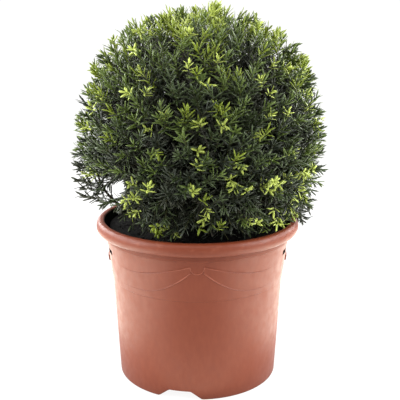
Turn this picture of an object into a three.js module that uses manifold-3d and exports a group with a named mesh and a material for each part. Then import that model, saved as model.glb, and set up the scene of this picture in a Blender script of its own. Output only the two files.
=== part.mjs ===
// Clipped yew ball growing in a terracotta-coloured plastic pot.
// Millimetres, +Z up. The pot stands on z = 0 with its axis on the Z axis, and its front is at -Y.
// Bearings are degrees round the Z axis from the front, positive to the right (+X).

import * as THREE from 'three';
import { mergeVertices } from 'three/addons/utils/BufferGeometryUtils.js';
import Module from 'manifold-3d';

const wasm = await Module();
wasm.setup();

const GAP = 0.3;

// Pot: outer sizes
const POT_HEIGHT = 239.2;
const POT_FACETS = 48;
const FOOT_RADIUS = 116.6;
const FOOT_ROUND = 2.4;
const WALL_FOOT_RADIUS = 118.8;
const BAND_HEIGHT = 152;
const BAND_RADIUS = 127;
const BAND_STEP = 0.8;
const NECK_LOW = 211;
const NECK_HIGH = 219.6;
const NECK_CHAMFER = 1;
const NECK_WALL_RADIUS = 135.2;
const NECK_RADIUS = 137;

// Pot: lip, rim edge, wall and floor
const LIP_RADIUS = 150;
const LIP_HALF_WIDTH = 6.6;
const LIP_HALF_HEIGHT = 9.3;
const LIP_MIDDLE = 229.9;
const RIM_EDGE_RADIUS = 2.1;
const RIM_EDGE_MIDDLE_RADIUS = 140.5;
const ROUND_STEPS = 3;
const WALL_THICKNESS = 4;
const FLOOR_UNDERSIDE = 14;
const FLOOR_TOP = 18;
const SKIRT_THICKNESS = 4.4;
const SKIRT_DRAFT = 1;

// Pot: drain notches in the foot
const NOTCH_COUNT = 3;
const FIRST_NOTCH_BEARING = -12.3;
const NOTCH_HEIGHT = 12.7;
const NOTCH_LOW_HALF = 31.4;
const NOTCH_TOP_HALF = 15.3;
const NOTCH_DEPTH = 22;
const NOTCH_OVERCUT = 1;

// Pot: festoons that hang from a tab at front and back and fade into the wall towards the sides
const SWAG_STEPS = 14;
const SWAG_SPAN = 82.2;
const SWAG_SHOWN = 0.62;
const SWAG_FADE = 0.8;
const SWAG_PROUD = 1.1;
const SWAG_ROOT = 1.5;
const SWAG_END_BEARING = 3.9;
const SWAG_TOP = { end: 203.7, middle: 185, curve: 1.55 };
const SWAG_HEM = { end: 195, middle: 160, curve: 2.5 };
const TAB_HALF_WIDTH = 9;
const TAB_TOP = 204;
const TAB_ROUND_HEIGHT = 203;
const TAB_PROUD = 1.7;
const TAB_ROUND_STEPS = 6;

// Pot: two slots at each side, with a lug below them
const GRIP_WIDTH = 16;
const GRIP_ASIDE = 18.5;
const GRIP_HEIGHT = 7;
const GRIP_MIDDLE = 197;
const GRIP_DEPTH = 3;
const GRIP_OVERCUT = 2;
const LUG_SPAN = 17.4;
const LUG_STEPS = 4;
const LUG_HEIGHT = 9;
const LUG_MIDDLE = 181;
const LUG_PROUD = 2;

// Soil
const SOIL_FACETS = 30;
const SOIL_EDGE_HEIGHT = 229;
const SOIL_TOP = 233;
const SOIL_FLAT_RADIUS = 40;

// Crown: the clipped outline round its centre
const CROWN_CENTRE = new THREE.Vector3(0, 0, 360);
const CROWN_RADIUS = 184;
const CROWN_RISE = 185;
const CROWN_FULLNESS = 2.25;
const LEADER_RISE = 187.5;
const CORE_SHARE = 0.75;
const CORE_LOW_FULLNESS = 3.2;
const CORE_DETAIL = 2;
const CORE_STEM_END = 125;
const HOLLOW_RADIUS = 80;
const HOLLOW_DETAIL = 1;
const CORE_CLEARANCE = 1;
const CORE_LOWEST = SOIL_TOP + 4;

// Crown: its masses, one at the top and two rings of them
const UPPER_MASSES = 5;
const UPPER_TILT = 38;
const LOWER_MASSES = 6;
const LOWER_TILT = -14;

// Stem and boughs
const STEM_RADIUS = 11.5;
const STEM_TIP_RADIUS = 3;
const STEM_FLARE = 0.55;
const STEM_FLARE_HEIGHT = 9;
const STEM_SWAY = { x: 2.2, y: -1.54 };
const STEM_SIDES = 9;
const STEM_STEPS = 14;
const BOUGH_SIDES = 6;
const BOUGH_STEPS = 5;
const BOUGH_REACH = 72;
const BOUGH_RADIUS = 4.2;
const BOUGH_TIP_RADIUS = 2.4;
const BOUGH_STRAIGHT_END = 30;
const LOWER_BOUGH_HEIGHT = 257;
const UPPER_BOUGH_HEIGHT = 312;
const BOUGH_SPACING = 5;
const LIMB_ROOM_RADIUS = 34;
const LIMB_ROOM_TOP = 305;
const LIMB_ROOM_SIDES = 16;

// Twigs and sprays of needles
const TWIG_COUNT = 92;
const TWIG_ROOT = [92, 116];
const TWIG_RADIUS = 2.2;
const TWIG_TIP_RADIUS = 1.1;
const TWIG_SIDES = 3;
const TWIG_TEST_SHARES = [0.4, 0.6, 0.8];
const SIDE_SPRAYS = 2;
const SIDE_SPRAY_ROOT = [0.78, 0.9];
const SIDE_SPRAY_SPREAD = [0.22, 0.4];
const SIDE_SPRAY_SHARE = [0.92, 0.99];
const SPRAY_TEETH = 8;
const SPRAY_GATHER = 1.3;
const SPRAY_NOTCH = 0.4;
const NEEDLE_SHARES = [0.64, 0.36];
const SPRAY_LENGTH = [33, 41];
const SPRAY_HALF_THICKNESS = 1.8;
const END_STALK_SHARE = 0.2;
const SIDE_STALK_SHARE = 0.8;
const SPRAY_LEAN_UP = 0.55;
const SPRAY_LEAN_DOWN = -0.25;
const DROOP_BELOW = -0.3;
const SPRAY_JITTER = 0.5;
const SPRAY_ROLL = 0.6;
const SPRAY_SPACING = 24;
const SPRAY_TRIES = 12;
const DRAW_IN = 0.035;
const SPRAY_CLEARANCE = 1.5;
const TIP_JITTER = 0.03;
const LOWEST_TWIG_TILT = -46;
const SEED = 20;

// Opening low on the left through which the sky shows
const SKY_GAP_POINT = new THREE.Vector3(-116.3, 0, 283.5);
const SKY_GAP_LINE = new THREE.Vector3(-0.105, 0.975, -0.224).normalize();
const SKY_GAP_RADIUS = 11;
const SKY_GAP_SIDES = 8;

// Bare bough that shows beside the opening: it runs out low over the soil, bends up and carries a tuft
const LOW_BOUGH_HEIGHT = 246;
const LOW_BOUGH_BEND = new THREE.Vector3(-130, 0, 218);
const LOW_BOUGH_TIP = new THREE.Vector3(-150, 0, 312);
const LOW_BOUGH_RADIUS = 3.2;
const LOW_BOUGH_TIP_RADIUS = 1.4;
const LOW_BOUGH_STEPS = 9;
const LOW_BOUGH_ROOM = 7;
const LOW_TUFT_MIDDLE = new THREE.Vector3(-153, 0, 288);
const LOW_TUFT_RADIUS = 31;
const LOW_TUFT_START = 0.76;
const LOW_TUFT_STEPS = 3;
const LOW_SPRAYS = 7;
const LOW_SPRAY_LENGTH = [19, 26];
const LOW_SPRAY_SPREAD = 0.9;

const TERRACOTTA = { color: 0xa8674f, roughness: 0.5, metalness: 0 };
const COMPOST = { color: 0x1b1c1b, roughness: 0.95, metalness: 0 };
const BARK = { color: 0x4a3626, roughness: 0.9, metalness: 0 };
const YEW_GREEN = { color: 0x4c5a30, roughness: 0.6, metalness: 0 };

// Closed solid of a geometry, with its corners merged and its flat triangles dropped
function solidOf(geometry) {
  const bare = geometry.clone();
  bare.deleteAttribute('normal');
  bare.deleteAttribute('uv');
  const merged = mergeVertices(bare, 1e-3);
  const corners = merged.index.array;
  const kept = [];
  for (let i = 0; i < corners.length; i += 3) {
    const [a, b, c] = [corners[i], corners[i + 1], corners[i + 2]];
    if (a !== b && b !== c && c !== a) {
      kept.push(a, b, c);
    }
  }
  return new wasm.Manifold(new wasm.Mesh({
    numProp: 3,
    vertProperties: merged.attributes.position.array,
    triVerts: Uint32Array.from(kept),
  }));
}

// The largest body of a solid, without loose scraps and with sealed hollows filled
function mainBody(solid) {
  return solid.decompose().reduce((best, body) => (body.volume() > best.volume() ? body : best));
}

function namedMesh(name, solid, finish) {
  const { vertProperties, triVerts } = solid.getMesh();
  const geometry = new THREE.BufferGeometry();
  geometry.setAttribute('position', new THREE.BufferAttribute(vertProperties, 3));
  geometry.setIndex(new THREE.BufferAttribute(triVerts, 1));
  geometry.computeVertexNormals();
  const mesh = new THREE.Mesh(geometry, new THREE.MeshStandardMaterial(finish));
  mesh.name = name;
  return mesh;
}

function turned(points, facets) {
  return solidOf(new THREE.LatheGeometry(points, facets).rotateX(Math.PI / 2));
}

// Unit vector at a bearing from the front and a tilt above the horizontal, both in degrees
function heading(bearing, tilt) {
  const b = THREE.MathUtils.degToRad(bearing);
  const t = THREE.MathUtils.degToRad(tilt);
  return new THREE.Vector3(Math.sin(b) * Math.cos(t), -Math.cos(b) * Math.cos(t), Math.sin(t));
}

// Repeatable random numbers from 0 to 1
function randomFrom(seed) {
  let state = seed >>> 0;
  return () => {
    state = (state + 0x6d2b79f5) >>> 0;
    let mixed = Math.imul(state ^ (state >>> 15), state | 1);
    mixed ^= mixed + Math.imul(mixed ^ (mixed >>> 7), mixed | 61);
    return ((mixed ^ (mixed >>> 14)) >>> 0) / 4294967296;
  };
}

// Tapering limb along a curve: radiusAt gives its radius from root (0) to tip (1)
function limb(curve, radiusAt, sides, steps) {
  const geometry = new THREE.CylinderGeometry(1, 1, 1, sides, steps);
  const frames = curve.computeFrenetFrames(steps);
  const places = geometry.attributes.position;
  for (let i = 0; i < places.count; i += 1) {
    const step = Math.round((places.getY(i) + 0.5) * steps);
    const radius = radiusAt(step / steps);
    const place = curve.getPointAt(step / steps);
    place.addScaledVector(frames.binormals[step], places.getX(i) * radius);
    place.addScaledVector(frames.normals[step], places.getZ(i) * radius);
    places.setXYZ(i, place.x, place.y, place.z);
  }
  return solidOf(geometry);
}

function wallRadius(z) {
  if (z < BAND_HEIGHT) {
    return THREE.MathUtils.mapLinear(z, 0, BAND_HEIGHT, WALL_FOOT_RADIUS, BAND_RADIUS);
  }
  return THREE.MathUtils.mapLinear(z, BAND_HEIGHT, NECK_LOW, BAND_RADIUS + BAND_STEP, NECK_WALL_RADIUS);
}

// Inside of the pot, from its floor to its rim edge
function innerWall() {
  return [FLOOR_TOP, BAND_HEIGHT - 2 * BAND_STEP, NECK_LOW].map(
    (z) => new THREE.Vector2(wallRadius(z) - WALL_THICKNESS, z),
  );
}

// Pot body: foot, banded wall, neck, rolled lip, rim edge, inside wall and raised floor
function potBody() {
  const rimFoot = POT_HEIGHT - RIM_EDGE_RADIUS;
  const lipMiddle = LIP_RADIUS - LIP_HALF_WIDTH;
  const quarter = Math.PI / 2;
  const outline = new THREE.Path();
  outline.moveTo(0, FLOOR_UNDERSIDE);
  outline.lineTo(FOOT_RADIUS - SKIRT_THICKNESS + SKIRT_DRAFT, FLOOR_UNDERSIDE);
  outline.lineTo(FOOT_RADIUS - SKIRT_THICKNESS, 0);
  outline.lineTo(FOOT_RADIUS, 0);
  outline.lineTo(wallRadius(FOOT_ROUND), FOOT_ROUND);
  outline.lineTo(BAND_RADIUS, BAND_HEIGHT - BAND_STEP);
  outline.lineTo(BAND_RADIUS + BAND_STEP, BAND_HEIGHT);
  outline.lineTo(NECK_WALL_RADIUS, NECK_LOW);
  outline.lineTo(NECK_RADIUS, NECK_LOW + NECK_CHAMFER);
  outline.lineTo(NECK_RADIUS, NECK_HIGH);
  outline.lineTo(lipMiddle, LIP_MIDDLE - LIP_HALF_HEIGHT);
  outline.absellipse(lipMiddle, LIP_MIDDLE, LIP_HALF_WIDTH, LIP_HALF_HEIGHT, -quarter, quarter);
  outline.absarc(RIM_EDGE_MIDDLE_RADIUS, rimFoot, RIM_EDGE_RADIUS, quarter, Math.PI);
  const points = outline.getPoints(ROUND_STEPS);
  points.push(...innerWall().reverse(), new THREE.Vector2(0, FLOOR_TOP));
  return turned(points, POT_FACETS);
}

// Height of a swag's edge at a share of the way from its end to its middle
function swagEdge(edge, share) {
  return edge.middle + (edge.end - edge.middle) * (1 - share) ** edge.curve;
}

// Draped band of low relief, bent round the wall, that leaves a tab to one way and thins out
function swag(tabBearing, way) {
  const geometry = new THREE.BoxGeometry(1, 1, 1, SWAG_STEPS, 1, 1);
  const places = geometry.attributes.position;
  for (let i = 0; i < places.count; i += 1) {
    const along = 0.5 + way * places.getX(i);
    const across = along * SWAG_SHOWN;
    const share = 1 - Math.abs(2 * across - 1);
    const top = swagEdge(SWAG_TOP, share);
    const hem = swagEdge(SWAG_HEM, share);
    const z = places.getY(i) > 0 ? top : hem;
    const proud = SWAG_PROUD * (1 - SWAG_FADE * along);
    const radius = wallRadius(z) + (places.getZ(i) > 0 ? proud : -SWAG_ROOT);
    const bearing = tabBearing + way * (SWAG_END_BEARING + across * SWAG_SPAN);
    const place = heading(bearing, 0).multiplyScalar(radius);
    places.setXYZ(i, place.x, place.y, z);
  }
  return solidOf(geometry);
}

// Lug below the slots, bent round the wall
function lug(bearing) {
  const geometry = new THREE.BoxGeometry(LUG_SPAN, LUG_HEIGHT, 1, LUG_STEPS, 1, 1);
  const places = geometry.attributes.position;
  for (let i = 0; i < places.count; i += 1) {
    const z = LUG_MIDDLE + places.getY(i);
    const radius = wallRadius(z) + (places.getZ(i) > 0 ? LUG_PROUD : -SWAG_ROOT);
    const place = heading(bearing + places.getX(i), 0).multiplyScalar(radius);
    places.setXYZ(i, place.x, place.y, z);
  }
  return solidOf(geometry);
}

// A prism drawn on the upright plane at a bearing, from one distance off the axis to another
function prismAt(shape, bearing, near, far) {
  const geometry = new THREE.ExtrudeGeometry(shape, {
    depth: far - near,
    bevelEnabled: false,
    curveSegments: TAB_ROUND_STEPS,
  });
  geometry.rotateX(Math.PI / 2);
  geometry.translate(0, -near, 0);
  geometry.rotateZ(THREE.MathUtils.degToRad(bearing));
  return solidOf(geometry);
}

function rectangle(width, height, middle) {
  const shape = new THREE.Shape();
  shape.moveTo(-width / 2, middle - height / 2);
  shape.lineTo(width / 2, middle - height / 2);
  shape.lineTo(width / 2, middle + height / 2);
  shape.lineTo(-width / 2, middle + height / 2);
  return shape;
}

// Half-round tab from which two swags hang
function tab(bearing) {
  const shape = new THREE.Shape();
  shape.moveTo(TAB_HALF_WIDTH, TAB_TOP);
  shape.lineTo(-TAB_HALF_WIDTH, TAB_TOP);
  shape.lineTo(-TAB_HALF_WIDTH, TAB_ROUND_HEIGHT);
  shape.absarc(0, TAB_ROUND_HEIGHT, TAB_HALF_WIDTH, Math.PI, 2 * Math.PI);
  const face = wallRadius(TAB_ROUND_HEIGHT) + TAB_PROUD;
  return prismAt(shape, bearing, face - 2 * TAB_PROUD, face);
}

// Cutter for a drain notch, open below the foot
function drainNotch(bearing) {
  const shape = new THREE.Shape();
  shape.moveTo(-NOTCH_LOW_HALF, -NOTCH_OVERCUT);
  shape.lineTo(NOTCH_LOW_HALF, -NOTCH_OVERCUT);
  shape.lineTo(NOTCH_LOW_HALF, 0);
  shape.lineTo(NOTCH_TOP_HALF, NOTCH_HEIGHT);
  shape.lineTo(-NOTCH_TOP_HALF, NOTCH_HEIGHT);
  shape.lineTo(-NOTCH_LOW_HALF, 0);
  return prismAt(shape, bearing, FOOT_RADIUS - NOTCH_DEPTH, BAND_RADIUS);
}

function pot() {
  let solid = potBody();
  for (const bearing of [0, 180]) {
    solid = solid.add(tab(bearing)).add(swag(bearing, 1)).add(swag(bearing, -1));
  }
  const grip = rectangle(GRIP_WIDTH, GRIP_HEIGHT, GRIP_MIDDLE);
  const face = wallRadius(GRIP_MIDDLE);
  for (const bearing of [90, -90]) {
    solid = solid.add(lug(bearing));
    for (const aside of [-GRIP_ASIDE, GRIP_ASIDE]) {
      solid = solid.subtract(prismAt(grip, bearing + aside, face - GRIP_DEPTH, face + GRIP_OVERCUT));
    }
  }
  for (let i = 0; i < NOTCH_COUNT; i += 1) {
    solid = solid.subtract(drainNotch(FIRST_NOTCH_BEARING + i * 360 / NOTCH_COUNT));
  }
  return solid;
}

// Soil that fills the pot, a little mounded, with a flat place for the stem
function soil() {
  const underside = FLOOR_TOP + GAP;
  const side = innerWall().map((p) => new THREE.Vector2(p.x - GAP, Math.max(p.y, underside)));
  const points = [
    new THREE.Vector2(0, underside),
    ...side,
    new THREE.Vector2(side.at(-1).x, SOIL_EDGE_HEIGHT),
    new THREE.Vector2(SOIL_FLAT_RADIUS, SOIL_TOP),
    new THREE.Vector2(0, SOIL_TOP),
  ];
  return turned(points, SOIL_FACETS);
}

const stemFoot = SOIL_TOP + GAP;
const stemTip = CROWN_CENTRE.z + BOUGH_REACH;
const stemSway = [[0, 0], [0.08, 0], [0.36, 1], [0.66, -1], [0.9, 0], [1, 0]];
const stemLine = new THREE.CatmullRomCurve3(stemSway.map(([share, side]) => new THREE.Vector3(
  side * STEM_SWAY.x,
  side * STEM_SWAY.y,
  THREE.MathUtils.lerp(stemFoot, stemTip, share),
)));

// Stem with its root flare, thicker all over by spare
function stem(spare) {
  const length = stemTip - stemFoot;
  const radiusAt = (share) => {
    const flare = 1 + STEM_FLARE * Math.exp(-share * length / STEM_FLARE_HEIGHT);
    return THREE.MathUtils.lerp(STEM_RADIUS, STEM_TIP_RADIUS, share) * flare + spare;
  };
  return limb(stemLine, radiusAt, STEM_SIDES, STEM_STEPS);
}

// Bough from the stem out to the root of its mass, cut clear of the stem
function bough(mass, stemRoom) {
  const share = (mass.boughHeight - stemFoot) / (stemTip - stemFoot);
  const root = stemLine.getPointAt(share);
  const tip = CROWN_CENTRE.clone().addScaledVector(mass.toward, BOUGH_REACH);
  const bend = tip.clone().addScaledVector(mass.toward, -BOUGH_STRAIGHT_END);
  const line = new THREE.QuadraticBezierCurve3(root, bend, tip);
  const radiusAt = (t) => THREE.MathUtils.lerp(BOUGH_RADIUS, BOUGH_TIP_RADIUS, t);
  return mainBody(limb(line, radiusAt, BOUGH_SIDES, BOUGH_STEPS).subtract(stemRoom));
}

const lowLine = new THREE.QuadraticBezierCurve3(
  stemLine.getPointAt((LOW_BOUGH_HEIGHT - stemFoot) / (stemTip - stemFoot)),
  LOW_BOUGH_BEND,
  LOW_BOUGH_TIP,
);
const lowPoints = lowLine.getSpacedPoints(4 * LOW_BOUGH_STEPS);

function lowRadius(share) {
  return THREE.MathUtils.lerp(LOW_BOUGH_RADIUS, LOW_BOUGH_TIP_RADIUS, share);
}

// The low bough as far as its tuft, cut clear of the stem
function lowBough(stemRoom) {
  const end = lowLine.getUtoTmapping(LOW_TUFT_START);
  const bend = lowLine.v0.clone().lerp(lowLine.v1, end);
  const line = new THREE.QuadraticBezierCurve3(lowLine.v0, bend, lowLine.getPoint(end));
  const radiusAt = (t) => lowRadius(t * LOW_TUFT_START);
  return mainBody(limb(line, radiusAt, BOUGH_SIDES, LOW_BOUGH_STEPS).subtract(stemRoom));
}

// The space of the low bough and its tuft, which the masses round it leave free
function lowRoom() {
  const ball = new THREE.IcosahedronGeometry(LOW_TUFT_RADIUS, HOLLOW_DETAIL);
  const alongBough = limb(lowLine, () => LOW_BOUGH_ROOM, BOUGH_SIDES, LOW_BOUGH_STEPS);
  return solidOf(ball.translate(...LOW_TUFT_MIDDLE.toArray())).add(alongBough);
}

// Distance from the crown's centre to the clipped outline along a direction.
// The fullness below the centre is that of a ball unless another is given.
function crownReach(toward, lowFullness = 2) {
  const flat = Math.hypot(toward.x, toward.y);
  const power = toward.z > 0 ? CROWN_FULLNESS : lowFullness;
  const rise = toward.z > 0 ? CROWN_RISE : CROWN_RADIUS;
  return ((flat / CROWN_RADIUS) ** power + (Math.abs(toward.z) / rise) ** power) ** (-1 / power);
}

// Outside of the dense inside of the crown, which fills the mouth of the pot
function coreOutside() {
  const geometry = new THREE.IcosahedronGeometry(1, CORE_DETAIL);
  const places = geometry.attributes.position;
  for (let i = 0; i < places.count; i += 1) {
    const place = new THREE.Vector3().fromBufferAttribute(places, i).normalize();
    place.multiplyScalar(CORE_SHARE * crownReach(place, CORE_LOW_FULLNESS)).add(CROWN_CENTRE);
    places.setXYZ(i, place.x, place.y, place.z);
  }
  return solidOf(geometry);
}

// The masses share the crown out: each holds the space nearest to its own direction
function crownMasses() {
  const masses = [{ place: 'top', toward: new THREE.Vector3(0, 0, 1) }];
  for (let i = 0; i < UPPER_MASSES; i += 1) {
    masses.push({
      place: `upper_${i + 1}`,
      toward: heading((i + 0.5) * 360 / UPPER_MASSES, UPPER_TILT),
      boughHeight: UPPER_BOUGH_HEIGHT + (2 * i % UPPER_MASSES) * BOUGH_SPACING,
    });
  }
  for (let i = 0; i < LOWER_MASSES; i += 1) {
    masses.push({
      place: `lower_${i + 1}`,
      toward: heading((i + 0.25) * 360 / LOWER_MASSES, LOWER_TILT),
      boughHeight: LOWER_BOUGH_HEIGHT + (i * 3 % LOWER_MASSES + Math.floor(i / 2)) * BOUGH_SPACING,
    });
  }
  return masses;
}

const masses = crownMasses();

// The planes that part a mass from its neighbours, as pointing-in normals
function partingNormals(mass) {
  const others = masses.filter((other) => other !== mass);
  return others.map((other) => mass.toward.clone().sub(other.toward).normalize());
}

function turnFrom(axis, toward) {
  return new THREE.Quaternion().setFromUnitVectors(axis, toward);
}

// Core of a mass: its share of the dense inside of the crown, clear of neighbours, limbs and soil
function massCore(mass) {
  const toCentre = (geometry) => geometry.translate(...CROWN_CENTRE.toArray());
  const inside = solidOf(toCentre(new THREE.IcosahedronGeometry(HOLLOW_RADIUS, HOLLOW_DETAIL)));
  let core = coreOutside().subtract(inside);
  const half = 2 * CROWN_RADIUS;
  for (const normal of partingNormals(mass)) {
    const room = new THREE.BoxGeometry(2 * half, 2 * half, half);
    room.translate(0, 0, half / 2 + CORE_CLEARANCE);
    room.applyQuaternion(turnFrom(new THREE.Vector3(0, 0, 1), normal));
    core = core.intersect(solidOf(toCentre(room)));
  }
  const soilRoom = new THREE.BoxGeometry(half, half, half).translate(0, 0, CORE_LOWEST - half / 2);
  const roomHeight = LIMB_ROOM_TOP - SOIL_TOP;
  const limbRadius = LIMB_ROOM_RADIUS;
  const limbRoom = new THREE.CylinderGeometry(limbRadius, limbRadius, roomHeight, LIMB_ROOM_SIDES);
  limbRoom.rotateX(Math.PI / 2).translate(0, 0, SOIL_TOP + roomHeight / 2);
  const skyRoom = new THREE.CylinderGeometry(SKY_GAP_RADIUS, SKY_GAP_RADIUS, 2 * half, SKY_GAP_SIDES);
  skyRoom.applyQuaternion(turnFrom(new THREE.Vector3(0, 1, 0), SKY_GAP_LINE));
  skyRoom.translate(...SKY_GAP_POINT.toArray());
  for (const room of [soilRoom, limbRoom, skyRoom]) {
    core = core.subtract(solidOf(room));
  }
  return core.subtract(lowRoom());
}

function isInTuft(p, spare) {
  return p.distanceTo(LOW_TUFT_MIDDLE) < LOW_TUFT_RADIUS + spare;
}

function fromSkyGap(p) {
  return p.clone().sub(SKY_GAP_POINT).cross(SKY_GAP_LINE).length();
}

// Whether every point keeps to the mass's space and clear of pot, soil, limbs and the sky gap
function keepsClear(points, normals) {
  const offset = new THREE.Vector3();
  return points.every((p) => {
    offset.subVectors(p, CROWN_CENTRE);
    const flat = Math.hypot(p.x, p.y);
    const overRim = p.z > POT_HEIGHT + SPRAY_CLEARANCE;
    const inMouth = flat < RIM_EDGE_MIDDLE_RADIUS - RIM_EDGE_RADIUS - WALL_THICKNESS - SPRAY_CLEARANCE;
    const offSoil = p.z > SOIL_TOP + SPRAY_CLEARANCE;
    const offLimbs = p.z > LIMB_ROOM_TOP || flat > LIMB_ROOM_RADIUS;
    const offLow = !isInTuft(p, 0) && lowPoints.every((q) => p.distanceTo(q) > LOW_BOUGH_ROOM);
    const inSpace = normals.every((normal) => normal.dot(offset) > SPRAY_CLEARANCE);
    const isOpen = fromSkyGap(p) > SKY_GAP_RADIUS && (overRim || inMouth);
    return inSpace && offSoil && offLimbs && offLow && isOpen;
  });
}

// Flat spray: needles that fan out from the end of a stalk, thick at the heart and sharp at the tips.
// The needles are gathered to the front, and those at the back are the shortest.
function spray(heart, forward, face, length, stalk) {
  const geometry = new THREE.SphereGeometry(1, 2 * SPRAY_TEETH, 2);
  const places = geometry.attributes.position;
  for (let i = 0; i < places.count; i += 1) {
    const [x, y, z] = [places.getX(i), places.getY(i), places.getZ(i)];
    const tooth = Math.round(Math.atan2(z, x) / Math.PI * SPRAY_TEETH);
    const angle = Math.sign(tooth) * Math.PI * (Math.abs(tooth) / SPRAY_TEETH) ** SPRAY_GATHER;
    const needle = length * (NEEDLE_SHARES[0] + NEEDLE_SHARES[1] * Math.cos(angle));
    const isStalk = Math.abs(tooth) === SPRAY_TEETH;
    const edge = isStalk ? stalk : (tooth % 2 === 0 ? needle : SPRAY_NOTCH * needle);
    const reach = edge * Math.hypot(x, z);
    places.setXYZ(i, Math.cos(angle) * reach, y * SPRAY_HALF_THICKNESS, Math.sin(angle) * reach);
  }
  const side = new THREE.Vector3().crossVectors(forward, face);
  geometry.applyMatrix4(new THREE.Matrix4().makeBasis(forward, face, side).setPosition(heart));
  return geometry;
}

function cornersOf(geometry) {
  const places = geometry.attributes.position;
  return Array.from({ length: places.count }, (_, i) => new THREE.Vector3().fromBufferAttribute(places, i));
}

// How far the furthest of some points stands past a share of the crown's outline
function standsPast(points, share) {
  return Math.max(0, ...points.map((p) => {
    const out = p.clone().sub(CROWN_CENTRE);
    const distance = out.length();
    return distance - crownReach(out.normalize()) * share;
  }));
}

function between(range, random) {
  return THREE.MathUtils.lerp(...range, random());
}

function anyAcross(forward, random) {
  return new THREE.Vector3(random() - 0.5, random() - 0.5, random() - 0.5).cross(forward).normalize();
}

// The way a spray grows: out from the crown's centre, leaning up, or down at the crown's foot
function growthWay(toward, random) {
  const up = new THREE.Vector3(0, 0, 1).projectOnPlane(toward);
  const lean = toward.z > DROOP_BELOW ? SPRAY_LEAN_UP : SPRAY_LEAN_DOWN;
  const jitter = anyAcross(toward, random).multiplyScalar(SPRAY_JITTER * random());
  return toward.clone().addScaledVector(up, lean).add(jitter).normalize();
}

// The upper face of a spray, which lies nearly level from side to side
function upperFace(forward, random) {
  const nearlyUp = new THREE.Vector3(0.01, 0, 1);
  const side = nearlyUp.cross(forward).normalize();
  const roll = SPRAY_ROLL * (2 * random() - 1);
  return side.cross(forward).negate().applyAxisAngle(forward, roll);
}

// Whether a blade keeps clear at its corners and half-way in to its heart, and off the sprays before it
function bladeFits(blade, heart, growth) {
  const corners = cornersOf(blade);
  const halfWay = corners.map((p) => p.clone().lerp(heart, 0.5));
  const isApart = growth.hearts.every((other) => other.distanceTo(heart) > SPRAY_SPACING);
  return isApart && keepsClear([...corners, ...halfWay], growth.normals);
}

// A twig from the mass's stem with a spray on its end that just reaches the outline.
// Each new try draws in towards the middle of the mass, and where none keeps clear nothing grows.
function twigWithSpray(growth, root, wanted, share) {
  const { random } = growth;
  for (let tries = 0; tries < SPRAY_TRIES; tries += 1) {
    const toward = wanted.clone().lerp(growth.toward, tries * DRAW_IN).normalize();
    const target = CROWN_CENTRE.clone().addScaledVector(toward, crownReach(toward) * share);
    const length = between(SPRAY_LENGTH, random);
    const forward = growthWay(toward, random);
    const face = upperFace(forward, random);
    const heart = target.clone().addScaledVector(forward, -length);
    const stalk = END_STALK_SHARE * length;
    heart.addScaledVector(toward, -standsPast(cornersOf(spray(heart, forward, face, length, stalk)), share));
    const blade = spray(heart, forward, face, length, stalk);
    const line = new THREE.LineCurve3(root, heart);
    const along = TWIG_TEST_SHARES.map((t) => line.getPoint(t));
    if (bladeFits(blade, heart, growth) && keepsClear(along, growth.normals)) {
      growth.hearts.push(heart);
      const radiusAt = (t) => THREE.MathUtils.lerp(TWIG_RADIUS, TWIG_TIP_RADIUS, t);
      return { line, toward, solids: [limb(line, radiusAt, TWIG_SIDES, 1), solidOf(blade)] };
    }
  }
  return null;
}

// A spray whose stalk roots in a twig and whose tip turns aside, a little short of the outline
function sideSpray(growth, root, toward) {
  const { random } = growth;
  for (let tries = 0; tries < SPRAY_TRIES; tries += 1) {
    const aside = anyAcross(toward, random);
    const turnedAside = toward.clone().addScaledVector(aside, between(SIDE_SPRAY_SPREAD, random)).normalize();
    const share = between(SIDE_SPRAY_SHARE, random);
    const tip = CROWN_CENTRE.clone().addScaledVector(turnedAside, crownReach(turnedAside) * share);
    const forward = tip.clone().sub(root).normalize();
    const length = root.distanceTo(tip) / (1 + SIDE_STALK_SHARE);
    const stalk = SIDE_STALK_SHARE * length;
    const heart = root.clone().addScaledVector(forward, stalk);
    const blade = spray(heart, forward, upperFace(forward, random), length, stalk);
    if (bladeFits(blade, heart, growth) && standsPast(cornersOf(blade), 1) === 0) {
      growth.hearts.push(heart);
      return [solidOf(blade)];
    }
  }
  return [];
}

// The leader stands nearly upright, a little above the clipped outline
const leaderDirection = new THREE.Vector3(0.08, -0.04, 1).normalize();

// Directions of the twigs that reach the full outline: the leader and the widest tips
const fullReach = [leaderDirection, ...[0, 90, 180, 270].map((bearing) => heading(bearing, 0))];

// Directions of all twigs: those of full reach, and the rest spread evenly over the crown
function tipDirections() {
  const goldenTurn = Math.PI * (3 - Math.sqrt(5));
  const directions = [];
  for (let i = 0; i < TWIG_COUNT; i += 1) {
    const z = 1 - 2 * (i + 0.5) / TWIG_COUNT;
    const flat = Math.sqrt(1 - z * z);
    directions.push(new THREE.Vector3(Math.cos(i * goldenTurn) * flat, Math.sin(i * goldenTurn) * flat, z));
  }
  const lowest = Math.sin(THREE.MathUtils.degToRad(LOWEST_TWIG_TILT));
  return [...fullReach, ...directions.filter((d) => d.z > lowest)];
}

// A twig with its end spray and the side sprays that branch from it
function branchlet(growth, root, wanted, share) {
  const twig = twigWithSpray(growth, root, wanted, share);
  if (!twig) {
    return [];
  }
  const solids = [...twig.solids];
  for (let i = 0; i < SIDE_SPRAYS; i += 1) {
    const fork = twig.line.getPoint(between(SIDE_SPRAY_ROOT, growth.random));
    solids.push(...sideSpray(growth, fork, twig.toward));
  }
  return solids;
}

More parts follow.
